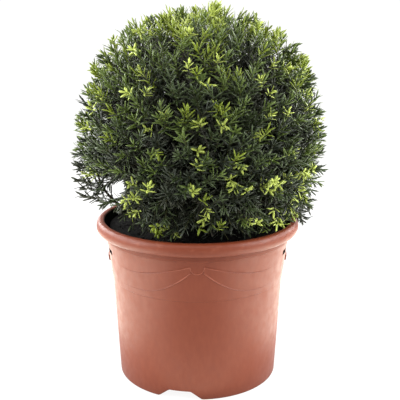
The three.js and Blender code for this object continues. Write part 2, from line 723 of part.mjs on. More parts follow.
// Foliage mass: stem, core, and forking twigs with their sprays, fused into one body
function foliage(mass, directions, random) {
  const growth = { toward: mass.toward, normals: partingNormals(mass), hearts: [], random };
  const stemAt = (distance) => CROWN_CENTRE.clone().addScaledVector(mass.toward, distance);
  const stemCurve = new THREE.LineCurve3(stemAt(BOUGH_REACH + GAP), stemAt(CORE_STEM_END));
  const solids = [massCore(mass), limb(stemCurve, () => BOUGH_TIP_RADIUS, BOUGH_SIDES, 1)];
  for (const wanted of directions) {
    const fullShare = wanted === leaderDirection ? LEADER_RISE / CROWN_RISE : 1;
    const share = fullReach.includes(wanted) ? fullShare : 1 - TIP_JITTER * random();
    solids.push(...branchlet(growth, stemAt(between(TWIG_ROOT, random)), wanted, share));
  }
  return mainBody(wasm.Manifold.union(solids));
}

// A small spray to one side of the low bough, inside the tuft's space
function lowSpray(random, share, aside) {
  const root = lowLine.getPointAt(share);
  const along = lowLine.getTangentAt(share);
  const across = new THREE.Vector3(0, aside, 0).cross(along);
  for (let tries = 0; tries < SPRAY_TRIES; tries += 1) {
    const jitter = anyAcross(along, random).multiplyScalar(SPRAY_JITTER);
    const forward = along.clone().addScaledVector(across, LOW_SPRAY_SPREAD).add(jitter).normalize();
    const length = between(LOW_SPRAY_LENGTH, random);
    const stalk = END_STALK_SHARE * length;
    const heart = root.clone().addScaledVector(forward, stalk);
    const blade = spray(heart, forward, upperFace(forward, random), length, stalk);
    const inTuft = cornersOf(blade).every((p) => isInTuft(p, -SPRAY_CLEARANCE));
    if (inTuft && cornersOf(blade).every((p) => fromSkyGap(p) > SKY_GAP_RADIUS)) {
      return [solidOf(blade)];
    }
  }
  return [];
}

// Tuft on the low bough: the bough's last stretch with sprays to either side
function lowTuft(random) {
  const start = lowLine.getUtoTmapping(LOW_TUFT_START + GAP / lowLine.getLength());
  const bend = lowLine.v1.clone().lerp(lowLine.v2, start);
  const line = new THREE.QuadraticBezierCurve3(lowLine.getPoint(start), bend, lowLine.v2);
  const radiusAt = (t) => lowRadius(THREE.MathUtils.lerp(LOW_TUFT_START, 1, t));
  const solids = [limb(line, radiusAt, BOUGH_SIDES, LOW_TUFT_STEPS)];
  for (let i = 1; i <= LOW_SPRAYS; i += 1) {
    const share = THREE.MathUtils.lerp(LOW_TUFT_START, 1, i / LOW_SPRAYS);
    solids.push(...lowSpray(random, share, i % 2 ? 1 : -1));
  }
  return mainBody(wasm.Manifold.union(solids));
}

const yew = new THREE.Group();
yew.add(namedMesh('pot', pot(), TERRACOTTA));
yew.add(namedMesh('soil', soil(), COMPOST));
yew.add(namedMesh('stem', stem(0), BARK));

const stemRoom = stem(GAP);
const allTips = tipDirections();
masses.forEach((mass, index) => {
  const ownTips = allTips.filter((d) => masses.every((other) => d.dot(other.toward) <= d.dot(mass.toward)));
  if (mass.boughHeight) {
    yew.add(namedMesh(`bough_${mass.place}`, bough(mass, stemRoom), BARK));
  }
  yew.add(namedMesh(`foliage_${mass.place}`, foliage(mass, ownTips, randomFrom(SEED + index)), YEW_GREEN));
});
yew.add(namedMesh('bough_low', lowBough(stemRoom), BARK));
yew.add(namedMesh('foliage_low', lowTuft(randomFrom(SEED + masses.length)), YEW_GREEN));

export default yew;
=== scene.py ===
# %% [markdown]
# # A clipped yew ball in a terracotta-coloured pot
# The plant is a young yew that has been cut to a ball, and it stands in a round plastic pot with a rolled
# lip. The CAD frame already holds every part at its true size, so this lesson only dresses it: each step
# takes a plain solid and puts a finer piece in its place. Everything is in metres, +Z is up and the front
# is at -Y.

from math import asin, atan2, cos, degrees, exp, hypot, pi, radians, sin, sqrt

import bmesh
import bpy
import numpy as np
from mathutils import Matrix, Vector, noise


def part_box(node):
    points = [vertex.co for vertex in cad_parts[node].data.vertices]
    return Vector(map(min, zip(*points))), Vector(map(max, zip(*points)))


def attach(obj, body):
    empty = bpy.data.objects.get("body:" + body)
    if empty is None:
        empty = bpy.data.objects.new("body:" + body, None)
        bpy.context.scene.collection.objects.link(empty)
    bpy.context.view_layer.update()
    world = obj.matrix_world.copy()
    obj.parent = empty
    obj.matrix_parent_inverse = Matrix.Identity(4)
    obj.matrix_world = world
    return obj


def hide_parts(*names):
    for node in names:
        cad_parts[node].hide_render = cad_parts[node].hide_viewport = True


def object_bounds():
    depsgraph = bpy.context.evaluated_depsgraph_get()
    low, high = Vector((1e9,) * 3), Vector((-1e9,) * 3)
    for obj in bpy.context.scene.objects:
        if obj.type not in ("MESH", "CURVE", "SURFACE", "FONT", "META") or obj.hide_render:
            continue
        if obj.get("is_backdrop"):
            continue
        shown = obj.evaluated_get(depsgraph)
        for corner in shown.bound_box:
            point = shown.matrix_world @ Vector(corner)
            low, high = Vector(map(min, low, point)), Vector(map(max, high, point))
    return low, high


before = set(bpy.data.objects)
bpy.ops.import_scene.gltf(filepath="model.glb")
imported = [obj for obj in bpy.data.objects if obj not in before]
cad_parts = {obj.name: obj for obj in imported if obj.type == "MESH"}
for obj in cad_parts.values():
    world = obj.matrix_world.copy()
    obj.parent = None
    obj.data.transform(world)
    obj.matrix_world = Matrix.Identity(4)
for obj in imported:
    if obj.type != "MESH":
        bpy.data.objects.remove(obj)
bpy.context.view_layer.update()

# %% [markdown]
# ## Camera
# A product photograph is taken from a little above the rim with a long lens, so the pot's mouth is a flat
# ellipse and its sides hardly converge. The lens, height and tilt were found by fitting the rim's and the
# foot's ellipses. A camera in Blender looks along its own -Z, so a turn of 90 degrees about X looks level.

# %% Place the camera
LENS_MM, SENSOR_MM = 69.38, 36
CAMERA_PLACE = (0.0037, -1.1128, 0.5395)
LOOK_DOWN = 13.93

camera = bpy.data.objects.new("camera", bpy.data.cameras.new("camera"))
camera.data.lens = LENS_MM
camera.data.sensor_width = SENSOR_MM
camera.location = CAMERA_PLACE
camera.rotation_euler = (radians(90 - LOOK_DOWN), 0, 0)
bpy.context.collection.objects.link(camera)
bpy.context.scene.camera = camera
print("camera looks down by", LOOK_DOWN, "degrees through a", LENS_MM, "mm lens")

# %% [markdown]
# ## Studio
# The plant stands in a white studio. Broad soft lights shine on it from both sides and from behind, and
# hardly anything lights the front, so the pot is darkest in the middle and pale at its edges. A lamp could
# be a small spot, but a large area light gives the soft edges that such a picture has. It shines along its
# own -Z, so its +Z is turned away from the plant.

# %% Make a soft light
LIGHT_AIM = Vector((0, 0, 0.3))
LIGHT_DISTANCE = 1.7


def heading(bearing, tilt):
    """Direction at a bearing from the front and a tilt above the level, in degrees."""
    b, t = radians(bearing), radians(tilt)
    return Vector((sin(b) * cos(t), -cos(b) * cos(t), sin(t)))


def area_light(name, sides, power):
    light = bpy.data.lights.new(name, "AREA")
    light.shape = "RECTANGLE"
    light.size, light.size_y = sides
    light.energy = power
    lamp = bpy.data.objects.new(name, light)
    bpy.context.collection.objects.link(lamp)
    return lamp


def softbox(name, bearing, rise, side, power):
    """A square light that faces the plant from a bearing and a rise in degrees."""
    away = heading(bearing, rise)
    lamp = area_light(name, (side, side), power)
    lamp.location = LIGHT_AIM + away * LIGHT_DISTANCE
    lamp.rotation_euler = away.to_track_quat("Z", "Y").to_euler()


print("soft lights stand", LIGHT_DISTANCE, "m away")

# %% [markdown]
# Two lights stand beside the plant, a little to the front, and two stand behind it. All four are of one size
# and at one height, so only their bearings and powers are listed.

# %% Hang the side lights
SIDE_RISE, SIDE_SIZE = 24, 1.2
SIDE_LIGHTS = {
    "light_left": (-77, 42),
    "light_right": (77, 42),
    "light_back_left": (-132, 44),
    "light_back_right": (132, 40),
}

for name, (bearing, power) in SIDE_LIGHTS.items():
    softbox(name, bearing, SIDE_RISE, SIDE_SIZE, power)
print(len(SIDE_LIGHTS), "soft lights at the sides and behind")

# %% [markdown]
# Panels that lie on the floor shine up at the pot, one on each side and a faint one in front. The pot's
# satin skin mirrors what lies beside it, so the panels draw a soft, slightly warm gloss on its flanks. One
# weak light above the camera opens the shadows in the front of the crown.

# %% Lay the floor panels
PANEL_TINT = (1.0, 0.99, 0.85)
PANEL_HEIGHT = 0.004
PANELS = {
    "panel_left": ((-0.46, 0.1), (0.5, 1.0), 6.1),
    "panel_right": ((0.46, 0.1), (0.5, 1.0), 6.1),
    "panel_front": ((0, -0.175), (0.36, 0.09), 0.14),
}

for name, (middle, sides, power) in PANELS.items():
    panel = area_light(name, sides, power)
    panel.data.color = PANEL_TINT
    panel.location = (*middle, PANEL_HEIGHT)
    panel.rotation_euler = (pi, 0, 0)
softbox("light_top", bearing=0, rise=56, side=1.0, power=7)
bpy.context.scene.view_settings.view_transform = "Standard"
print(len(PANELS), "panels lie on the floor")

# %% [markdown]
# A shader is a tree of nodes. These helpers add a node with its settings, values and links in one call, read
# a point's place along one axis, and lay colours along a factor. The world needs them first, and the
# materials later.

# %% Add nodes to a tree
def add_node(owner, kind, links=(), values=(), **settings):
    """A node in a material or a world, with its settings, its plain values and its links."""
    node = owner.node_tree.nodes.new(f"ShaderNode{kind}")
    for name, setting in settings.items():
        setattr(node, name, setting)
    for socket, value in dict(values).items():
        node.inputs[socket].default_value = value
    for socket, source in dict(links).items():
        owner.node_tree.links.new(source, node.inputs[socket])
    return node


def place_on(owner, axis, coordinate="Object"):
    place = add_node(owner, "TexCoord").outputs[coordinate]
    return add_node(owner, "SeparateXYZ", {"Vector": place}).outputs[axis]


def ramp(owner, factor, stops):
    """Colours along a factor: stops are pairs of place and linear colour."""
    node = add_node(owner, "ValToRGB", {"Fac": factor})
    first, last = node.color_ramp.elements
    first.position, first.color = stops[0]
    last.position, last.color = stops[-1]
    for place, colour in stops[1:-1]:
        node.color_ramp.elements.new(place).color = colour
    return node.outputs["Color"]


print("helpers for node trees are ready")

# %% [markdown]
# The world is the studio's walls: white at eye level, which keeps the horizon as pale as the floor from
# every side, dimmer above, and pale again at the ceiling, so that low reliefs catch light on their upper
# edges. In a world shader the Generated coordinate is the direction that is looked along, and its Z tells
# how high that is. A ramp gives each height its glow.

# %% Paint the studio's walls
WALL_GLOWS = ((0.03, 1.05), (0.14, 0.4), (0.5, 0.4), (0.85, 1.0))

world = bpy.data.worlds.new("studio")
world.use_nodes = True
bpy.context.scene.world = world
glows = [(height, (glow, glow, glow, 1)) for height, glow in WALL_GLOWS]
glow_at = ramp(world, place_on(world, "Z", "Generated"), glows)
world.node_tree.links.new(glow_at, world.node_tree.nodes["Background"].inputs["Color"])
print("walls glow", WALL_GLOWS)

# %% [markdown]
# ## Helpers for pieces
# A bmesh is a mesh that can be edited with the same operators as in Edit Mode. The pot, the soil and the
# limbs are made in one, and this helper turns it into an object that sits at the origin and rides with the
# plant. Smooth shading with an angle limit keeps real edges crisp.

# %% Turn a bmesh into a piece
CREASE = 35
SAME_PLACE = 1e-6


def add_object(name, mesh, material):
    piece = bpy.data.objects.new(name, mesh)
    piece.data.materials.append(material)
    bpy.context.collection.objects.link(piece)
    return piece


def piece_from(bm, name, material, smooth=True):
    bmesh.ops.remove_doubles(bm, verts=bm.verts, dist=SAME_PLACE)
    bmesh.ops.recalc_face_normals(bm, faces=bm.faces)
    mesh = bpy.data.meshes.new(name)
    bm.to_mesh(mesh)
    bm.free()
    if smooth:
        mesh.shade_smooth()
        mesh.set_sharp_from_angle(angle=radians(CREASE))
    piece = add_object(name, mesh, material)
    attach(piece, "root")
    print(f"{name}: {len(mesh.polygons)} faces")
    return piece


print("edges past", CREASE, "degrees stay sharp")

# %% [markdown]
# ## Helpers for finishes
# A material is a small node tree that ends in a Principled shader. These helpers start one and add a noise
# on Object coordinates, which stay put when a piece moves.

# %% Start a material and add noise to it
def shade(rgb):
    """Linear colour of a screen colour given as 0 to 255."""
    parts = [v / 255 for v in rgb]
    return tuple(v / 12.92 if v < 0.04045 else ((v + 0.055) / 1.055) ** 2.4 for v in parts) + (1,)


def skin_of(material):
    """The sockets of a material's shader."""
    return material.node_tree.nodes["Principled BSDF"].inputs


def new_material(name, roughness, specular):
    material = bpy.data.materials.new(name)
    material.use_nodes = True
    skin_of(material)["Roughness"].default_value = roughness
    skin_of(material)["Specular IOR Level"].default_value = specular
    return material


def noise_on(material, waves, stretch=(1, 1, 1), detail=3):
    """Noise on Object coordinates, with so many waves in a metre."""
    place = add_node(material, "TexCoord").outputs["Object"]
    place = add_node(material, "Mapping", {"Vector": place}, {"Scale": stretch}).outputs["Vector"]
    node = add_node(material, "TexNoise", {"Vector": place}, {"Scale": waves, "Detail": detail})
    return node.outputs["Fac"]


print("half grey on the screen is", round(shade((128, 128, 128))[0], 3), "in linear light")

# %% [markdown]
# A noise keeps mostly to the middle of its range, so for the roughness that part is spread over the span
# that is wanted. A Bump node takes the noise as it is. It only changes how light falls on the skin, which
# costs far less than a real relief.

# %% Use a noise for roughness or bump
NOISE_SPAN = (0.3, 0.7)
SPAN_ENDS = ("From Min", "From Max", "To Min", "To Max")


def feed(material, socket, source):
    material.node_tree.links.new(source, skin_of(material)[socket])


def spread(material, value, span, onto=(0, 1)):
    """Maps one span of a value onto another and holds it at both ends."""
    ends = dict(zip(SPAN_ENDS, (*span, *onto)))
    return add_node(material, "MapRange", {"Value": value}, ends).outputs["Result"]


def rough_by(material, factor, low, high):
    feed(material, "Roughness", spread(material, factor, NOISE_SPAN, (low, high)))


def bump_by(material, factor, height, strength=1.0):
    bump = add_node(material, "Bump", {"Height": factor}, {"Strength": strength, "Distance": height})
    feed(material, "Normal", bump.outputs["Normal"])


print("a noise is used from", *NOISE_SPAN)

# %% [markdown]
# ## Floor
# The floor is only a stage for the plant. It glows a little, as white studio paper does under its own
# lights, so it comes out nearly white from every side and still takes a soft shadow under the pot.

# %% Lay the floor
FLOOR_RADIUS = 1.7
FLOOR_GLOW = 0.92

paper = new_material("studio_paper", roughness=0.9, specular=0.1)
skin_of(paper)["Base Color"].default_value = shade((88, 88, 88))
skin_of(paper)["Emission Color"].default_value = (1, 1, 1, 1)
skin_of(paper)["Emission Strength"].default_value = FLOOR_GLOW
bm = bmesh.new()
bmesh.ops.create_circle(bm, cap_ends=True, segments=96, radius=FLOOR_RADIUS)
mesh = bpy.data.meshes.new("floor")
bm.to_mesh(mesh)
bm.free()
floor = add_object("floor", mesh, paper)
floor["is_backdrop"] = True
print("floor radius", FLOOR_RADIUS, "m")

# %% [markdown]
# ## Terracotta-coloured plastic
# The pot is moulded in one piece from coloured plastic. Its skin is satin, a little uneven in colour and
# faintly streaked up the wall where the plastic flowed. A noise that is drawn out in height gives the
# streaks without any picture.

# %% Mix the plastic
CLAY_DARK, CLAY, CLAY_LIGHT = shade((110, 49, 28)), shade((113, 51, 29)), shade((116, 54, 32))
CLAY_SPECULAR = 0.32

plastic = new_material("terracotta_plastic", roughness=0.45, specular=CLAY_SPECULAR)
streaks = noise_on(plastic, waves=170, stretch=(1, 1, 0.4), detail=5)
tint = ramp(plastic, streaks, [(0.3, CLAY_DARK), (0.5, CLAY), (0.72, CLAY_LIGHT)])
rough_by(plastic, noise_on(plastic, waves=90), low=0.4, high=0.54)
bump_by(plastic, noise_on(plastic, waves=420, detail=2), height=0.00012, strength=0.6)
print("plastic mixed")

# %% [markdown]
# The lip is scuffed, because pots are stacked and carried by it. The height of a point tells whether it is
# on the lip, and a blotchy noise decides where the plastic is rubbed pale. A Mix node lays the scuffs over
# the streaked colour.

# %% Scuff the lip
SCUFF = shade((170, 108, 86))
LIP_FOOT, LIP_FADE = 0.2206, 0.012
SCUFF_SPAN, MOST_SCUFFED = (0.56, 0.72), 0.2


def worked_out(material, operation, *values):
    """What a Math node makes of linked values."""
    return add_node(material, "Math", dict(enumerate(values)), operation=operation).outputs["Value"]


def mixed(material, share, colour, over):
    """A linked colour that gives way to a plain one as the share rises."""
    node = add_node(material, "Mix", {"Factor": share, "A": colour}, {"B": over}, data_type="RGBA")
    return node.outputs["Result"]


on_lip = spread(plastic, place_on(plastic, "Z"), (LIP_FOOT, LIP_FOOT + LIP_FADE))
blotches = noise_on(plastic, waves=60, stretch=(1, 1, 2.5), detail=8)
rubbed = spread(plastic, blotches, SCUFF_SPAN, (0, MOST_SCUFFED))
scuffs = worked_out(plastic, "MULTIPLY", on_lip, rubbed)
feed(plastic, "Base Color", mixed(plastic, scuffs, tint, SCUFF))

# %% [markdown]
# Soil is nearly black when it is moist, with brown flecks of bark. It is mixed before the pot is made,
# because the pot takes it too: in its slots as painted shade, and on its inner wall above the soil.

# %% Mix the soil
EARTH = [(0.3, shade((14, 14, 14))), (0.55, shade((24, 23, 22))), (0.75, shade((40, 36, 33)))]

soil_earth = new_material("potting_soil", roughness=0.95, specular=0.05)
grains = noise_on(soil_earth, waves=260, detail=6)
feed(soil_earth, "Base Color", ramp(soil_earth, grains, EARTH))
rough_by(soil_earth, grains, low=0.85, high=1.0)
bump_by(soil_earth, noise_on(soil_earth, waves=700, detail=4), height=0.0006)
print("soil mixed")

# %% [markdown]
# ## Pot
# The pot is a body of revolution, so half of its section is drawn once and spun round the Z axis. The
# section runs from the raised floor's underside over the foot, the two stretches of wall, the neck, the
# rolled lip and the rim's edge back down the inside. Height and lip are read from the frame.

# %% Sizes of the pot
POT_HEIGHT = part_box("pot")[1].z
LIP_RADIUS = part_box("pot")[1].x
FOOT_RADIUS = 0.1166
FOOT_ROUND = 0.0024
WALL_FOOT_RADIUS = 0.1188
BAND_HEIGHT = 0.152
BAND_RADIUS = 0.127
BAND_STEP = 0.0008
NECK_LOW, NECK_HIGH = 0.211, 0.2196
NECK_STEP = 0.0012
NECK_WALL_RADIUS = 0.1352
NECK_RADIUS = 0.137
LIP_MIDDLE = 0.2299
LIP_HALF = (0.0066, 0.0093)
RIM_EDGE = (0.1405, 0.0021)
WALL = 0.004
WALL_RING = 0.08
FLOOR_LOW, FLOOR_TOP = 0.014, 0.018
SKIRT = 0.0044
GRIP_LOW, GRIP_TOP = 0.1935, 0.2005
LUG_LOW, LUG_TOP = 0.1765, 0.1855


def wall_radius(z):
    if z < BAND_HEIGHT:
        return WALL_FOOT_RADIUS + (BAND_RADIUS - WALL_FOOT_RADIUS) * z / BAND_HEIGHT
    share = (z - BAND_HEIGHT) / (NECK_LOW - BAND_HEIGHT)
    return BAND_RADIUS + BAND_STEP + (NECK_WALL_RADIUS - BAND_RADIUS - BAND_STEP) * share


# %% [markdown]
# Round stretches of the section are arcs of an ellipse, so the lip needs no list of points. The heights of
# the slots and the lugs are points of the section too, so that whole faces can be picked there later.

# %% Draw half of the section
def arc(middle, half, first, last, steps):
    """Points of an ellipse from one angle to another, both in degrees."""
    turns = [radians(first + (last - first) * i / steps) for i in range(steps + 1)]
    return [(middle[0] + half[0] * cos(a), middle[1] + half[1] * sin(a)) for a in turns]


def pot_section():
    skirt_inside = FOOT_RADIUS - SKIRT
    foot_middle = (wall_radius(FOOT_ROUND) - FOOT_ROUND, FOOT_ROUND)
    edge_radius, edge_round = RIM_EDGE
    edge_middle = (edge_radius, LIP_MIDDLE + LIP_HALF[1] - edge_round)
    lip_middle = (LIP_RADIUS - LIP_HALF[0], LIP_MIDDLE)
    inside = (NECK_LOW, BAND_HEIGHT - 2 * BAND_STEP, FLOOR_TOP)
    points = [(0, FLOOR_LOW), (skirt_inside, FLOOR_LOW), (skirt_inside, 0)]
    points += arc(foot_middle, (FOOT_ROUND, FOOT_ROUND), -90, 0, steps=5)
    points += [(wall_radius(z), z) for z in (FLOOR_TOP, WALL_RING)]
    points += [(BAND_RADIUS, BAND_HEIGHT - BAND_STEP), (BAND_RADIUS + BAND_STEP, BAND_HEIGHT)]
    points += [(wall_radius(z), z) for z in (LUG_LOW, LUG_TOP, GRIP_LOW, GRIP_TOP)]
    points += [(NECK_WALL_RADIUS, NECK_LOW), (NECK_RADIUS, NECK_LOW + NECK_STEP), (NECK_RADIUS, NECK_HIGH)]
    points += arc(lip_middle, LIP_HALF, -90, 90, steps=16)
    points += arc(edge_middle, (edge_round, edge_round), 90, 180, steps=5)
    points += [(wall_radius(z) - WALL, z) for z in inside]
    return points + [(0, FLOOR_TOP)]


print("section of", len(pot_section()), "points")

# %% [markdown]
# Spinning takes the section once round in small steps. With use_merge the last step closes on the first,
# and the points on the axis become one point at each end when doubles are merged.

# %% Spin the section
def spun(points, steps):
    bm = bmesh.new()
    chain = [bm.verts.new((x, 0, z)) for x, z in points]
    for low, high in zip(chain, chain[1:]):
        bm.edges.new((low, high))
    bmesh.ops.spin(bm, geom=bm.verts[:] + bm.edges[:], cent=(0, 0, 0), axis=(0, 0, 1),
                   angle=2 * pi, steps=steps, use_merge=True)
    bmesh.ops.remove_doubles(bm, verts=bm.verts, dist=SAME_PLACE)
    bmesh.ops.recalc_face_normals(bm, faces=bm.faces)
    return bm


pot_bm = spun(pot_section(), steps=240)
print("spun into", len(pot_bm.faces), "faces")

# %% [markdown]
# Three drain notches let water out from under the floor. A Boolean could cut them, but the skirt has no
# ring between its foot and the floor. So it is enough to lift the foot's points to the notch's outline, and
# the faces above just become shorter.

# %% Lift the drain notches
NOTCHES = 3
FIRST_NOTCH = -12.3
NOTCH_HEIGHT = 0.0127
NOTCH_LOW_HALF, NOTCH_TOP_HALF = 0.0314, 0.0153


def bearing_of(place):
    return degrees(atan2(place.x, -place.y))


def turn_between(a, b):
    return (a - b + 180) % 360 - 180


lifted = 0
for vert in pot_bm.verts:
    if vert.co.z > FOOT_ROUND + SAME_PLACE:
        continue
    offsets = [turn_between(bearing_of(vert.co), FIRST_NOTCH + 360 / NOTCHES * i) for i in range(NOTCHES)]
    aside = FOOT_RADIUS * sin(radians(min(abs(o) for o in offsets)))
    share = (NOTCH_LOW_HALF - aside) / (NOTCH_LOW_HALF - NOTCH_TOP_HALF)
    lift = NOTCH_HEIGHT * min(max(share, 0), 1)
    vert.co.z += lift * (1 - vert.co.z / FLOOR_LOW)
    lifted += lift > 0
print("lifted", lifted, "points into", NOTCHES, "notches")

# %% [markdown]
# Each side has two slots for a handle's strap, with a bar between them and a small lug below. Boxes could be
# cut out and stuck on. Here all start as faces of the wall: an inset sinks the slots' faces and raises the
# lug's, which leaves clean walls round them. The slots' sunken faces and walls take the dark soil material,
# as painted shade deep in the recess.

# %% Sink the slots and raise the lugs
GRIP_HALF, LUG_HALF = 0.008, 0.020
GRIP_ASIDE = 18.5
GRIP_DEPTH, LUG_PROUD = 0.0035, 0.002
GRIP_EDGE, LUG_EDGE = 0.0002, 0.0006
SOIL_AND_SHADE_MATERIAL = 1


def wall_faces(side, half, low, high):
    """Outer wall faces round a side bearing, between two heights."""
    reach = degrees(asin(half / wall_radius(low)))
    chosen = []
    for face in pot_bm.faces:
        middle = face.calc_center_median()
        outside = hypot(middle.x, middle.y) > wall_radius(middle.z) - WALL / 2
        if outside and low < middle.z < high and abs(turn_between(bearing_of(middle), side)) < reach:
            chosen.append(face)
    return chosen


for side in (-90, 90):
    for aside in (-GRIP_ASIDE, GRIP_ASIDE):
        grip = wall_faces(side + aside, GRIP_HALF, GRIP_LOW, GRIP_TOP)
        walls = bmesh.ops.inset_region(pot_bm, faces=grip, thickness=GRIP_EDGE, depth=-GRIP_DEPTH)["faces"]
        # painted shade: the sunken faces and walls of each slot take the dark soil material
        for sunken in grip + walls:
            sunken.material_index = SOIL_AND_SHADE_MATERIAL
    lug = wall_faces(side, LUG_HALF, LUG_LOW, LUG_TOP)
    bmesh.ops.inset_region(pot_bm, faces=lug, thickness=LUG_EDGE, depth=LUG_PROUD, use_even_offset=True)
    print("two slots at", side, "of", len(grip), "faces each, lug of", len(lug))

# %% [markdown]
# The bare wall inside, between the soil and the lip, is made as dark as the soil. Only faces there that
# look inwards take the soil's material.

# %% Darken the inside and finish the pot
pot_bm.normal_update()
darkened = 0
for inside in pot_bm.faces:
    middle = inside.calc_center_median()
    if NECK_LOW < middle.z < LIP_MIDDLE and inside.normal.dot(Vector((middle.x, middle.y, 0))) < 0:
        inside.material_index = SOIL_AND_SHADE_MATERIAL
        darkened += 1
print(darkened, "faces inside are stained with soil")
pot = piece_from(pot_bm, "pot_body", plastic)
pot.data.materials.append(soil_earth)
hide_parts("pot")

# %% [markdown]
# ## Festoons
# Four draped bands hang round the wall in low relief, from a round tab at front and back to the sides,
# where they fade into the wall. A band is made flat as a grid, with its long edges moved to the drape's two
# curves, then given its depth, and only then bent round the wall. Bending last keeps the drawing simple.

# %% Bend a flat relief round the wall
RELIEF_ROOT = 0.0015


def thicken(bm):
    """Gives a flat relief its depth, down to a root inside the wall."""
    made = bmesh.ops.extrude_face_region(bm, geom=bm.faces[:], use_keep_orig=True)["geom"]
    for item in made:
        if isinstance(item, bmesh.types.BMVert):
            item.co.y = RELIEF_ROOT


def bend_round_wall(bm, bearing):
    """Flat relief to the wall: x is the way round in radians, y the depth, z the height."""
    for vert in bm.verts:
        turn = radians(bearing) + vert.co.x
        radius = wall_radius(vert.co.z) - vert.co.y
        vert.co.x, vert.co.y = radius * sin(turn), -radius * cos(turn)


def relief_piece(bm, name, skin=plastic):
    piece = piece_from(bm, name, skin)
    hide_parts("pot")


# %% [markdown]
# A festoon's upper edge and its hem are two curves of the same kind, high at the tab and low in the middle.
# Only the part from the tab to a little past the middle is made, and it thins out on its way.

# %% Drape the festoons
SWAGS = 4
SWAG_PROUD = 0.0006
SWAG_END = 3.9
SWAG_SPAN = radians(360 / SWAGS - 2 * SWAG_END)
SWAG_TOP = (0.2037, 0.185, 1.55)
SWAG_HEM = (0.195, 0.160, 2.5)
SWAG_SHOWN = 0.62
SWAG_FADE = 0.95


def drape(edge, share):
    """Height of a festoon's edge at a share of the way from its tab."""
    end, middle, curve = edge
    return middle + (end - middle) * abs(2 * share - 1) ** curve


swags = [(360 / SWAGS * (i + 0.5), 1 if i % 2 == 0 else -1) for i in range(SWAGS)]
for number, (bearing, way) in enumerate(swags):
    bm = bmesh.new()
    bmesh.ops.create_grid(bm, x_segments=72, y_segments=5, size=0.5)
    for vert in bm.verts:
        share, up = (vert.co.x + 0.5) * SWAG_SHOWN, vert.co.y + 0.5
        hem, top = drape(SWAG_HEM, share), drape(SWAG_TOP, share)
        proud = SWAG_PROUD * (1 - SWAG_FADE * share / SWAG_SHOWN)
        vert.co = (way * (share - 0.5) * SWAG_SPAN, -proud, hem + (top - hem) * up)
    thicken(bm)
    bend_round_wall(bm, bearing)
    relief_piece(bm, f"festoon_{number + 1}")

# %% [markdown]
# The tab between two festoons is a half-round tongue. It starts as a filled circle, and the points of its
# upper half are brought down to a level edge, where its relief runs out into the wall.

# %% Hang the tabs
TAB_HALF = 0.0096
TAB_ROUND_MIDDLE = 0.203
TAB_RISE = 0.001
TAB_PROUD = 0.0005
TABS = {"tab_front": 0, "tab_back": 180}

for name, bearing in TABS.items():
    bm = bmesh.new()
    bmesh.ops.create_circle(bm, cap_ends=True, segments=40, radius=TAB_HALF)
    for vert in bm.verts:
        x, up = vert.co.x, vert.co.y
        z = TAB_ROUND_MIDDLE + min(up, TAB_RISE)
        proud = TAB_PROUD * min(1, (TAB_ROUND_MIDDLE + TAB_RISE - z) / TAB_HALF)
        vert.co = (x / NECK_WALL_RADIUS, -proud, z)
    thicken(bm)
    bend_round_wall(bm, bearing)
    relief_piece(bm, name)

# %% [markdown]
# ## Beads
# A thin bead outlines the festoons and the tabs and catches the light. It is a round rod, half sunk in the
# wall. A curve with a round bevel could make it. A cylinder with many cuts along it, bent onto a formula,
# needs no change from curve to mesh. The same helper grows the stem and the boughs later, where a noise
# pushes every point in or out and raises the bark's flakes.

# %% Bend a rod along a curve
NUDGE = 0.01
FLAKES_ROUND, FLAKES_ALONG = 2.5, 7
FLAKE_FRACTAL = (0.9, 2.0, 4)


def rod_along(bm, curve, radius_at, sides, cuts, across, relief=0):
    """Adds a closed rod bent along curve(0 to 1). The curve never runs along the direction across."""
    before = len(bm.verts)
    made = bmesh.ops.create_cone(bm, cap_ends=True, segments=sides, radius1=1, radius2=1, depth=1)["verts"]
    lengthwise = {e for v in made for e in v.link_edges if abs(e.verts[0].co.z - e.verts[1].co.z) > 0.5}
    bmesh.ops.subdivide_edges(bm, edges=list(lengthwise), cuts=cuts)
    for vert in bm.verts[:][before:]:
        share = min(max(vert.co.z + 0.5, 0), 1)
        along = (curve(min(share + NUDGE, 1)) - curve(max(share - NUDGE, 0))).normalized()
        side = along.cross(across).normalized()
        out = side * vert.co.x + side.cross(along) * vert.co.y
        spot = Vector((vert.co.x * FLAKES_ROUND, vert.co.y * FLAKES_ROUND, share * FLAKES_ALONG))
        bulge = 1 + relief * noise.fractal(spot, *FLAKE_FRACTAL)
        vert.co = curve(share) + out * radius_at(share) * bulge


print("a rod's direction is measured over", 2 * NUDGE, "of its curve")

# %% [markdown]
# The beads are painted paler than the wall, a painted highlight where light catches their raised edges. It
# is strongest near the tabs and gives way to the wall's own colour further round. How far a point is from
# the middle, in X, tells how much of the painted highlight is left.

# %% Mix the beads' plastic with a painted highlight
BEAD_HIGHLIGHT_TINTS = [(0.35, shade((122, 60, 39))), (0.7, shade((140, 76, 55)))]
BEAD_HIGHLIGHT_FADE = (0.02, 0.065)

bead_highlight_plastic = new_material("bead_highlight_plastic", roughness=0.42, specular=CLAY_SPECULAR)
bead_mottle = noise_on(bead_highlight_plastic, waves=120, detail=4)
aside = worked_out(bead_highlight_plastic, "ABSOLUTE", place_on(bead_highlight_plastic, "X"))
unhighlit = spread(bead_highlight_plastic, aside, BEAD_HIGHLIGHT_FADE)
highlit = ramp(bead_highlight_plastic, bead_mottle, BEAD_HIGHLIGHT_TINTS)
# painted highlight: the beads' pale colour near the tabs fades to the wall's dark clay further round
feed(bead_highlight_plastic, "Base Color", mixed(bead_highlight_plastic, unhighlit, highlit, CLAY_DARK))
rough_by(bead_highlight_plastic, bead_mottle, low=0.36, high=0.48)
bump_by(bead_highlight_plastic, noise_on(bead_highlight_plastic, waves=420, detail=2), height=0.00008, strength=0.5)
print("worn plastic mixed")

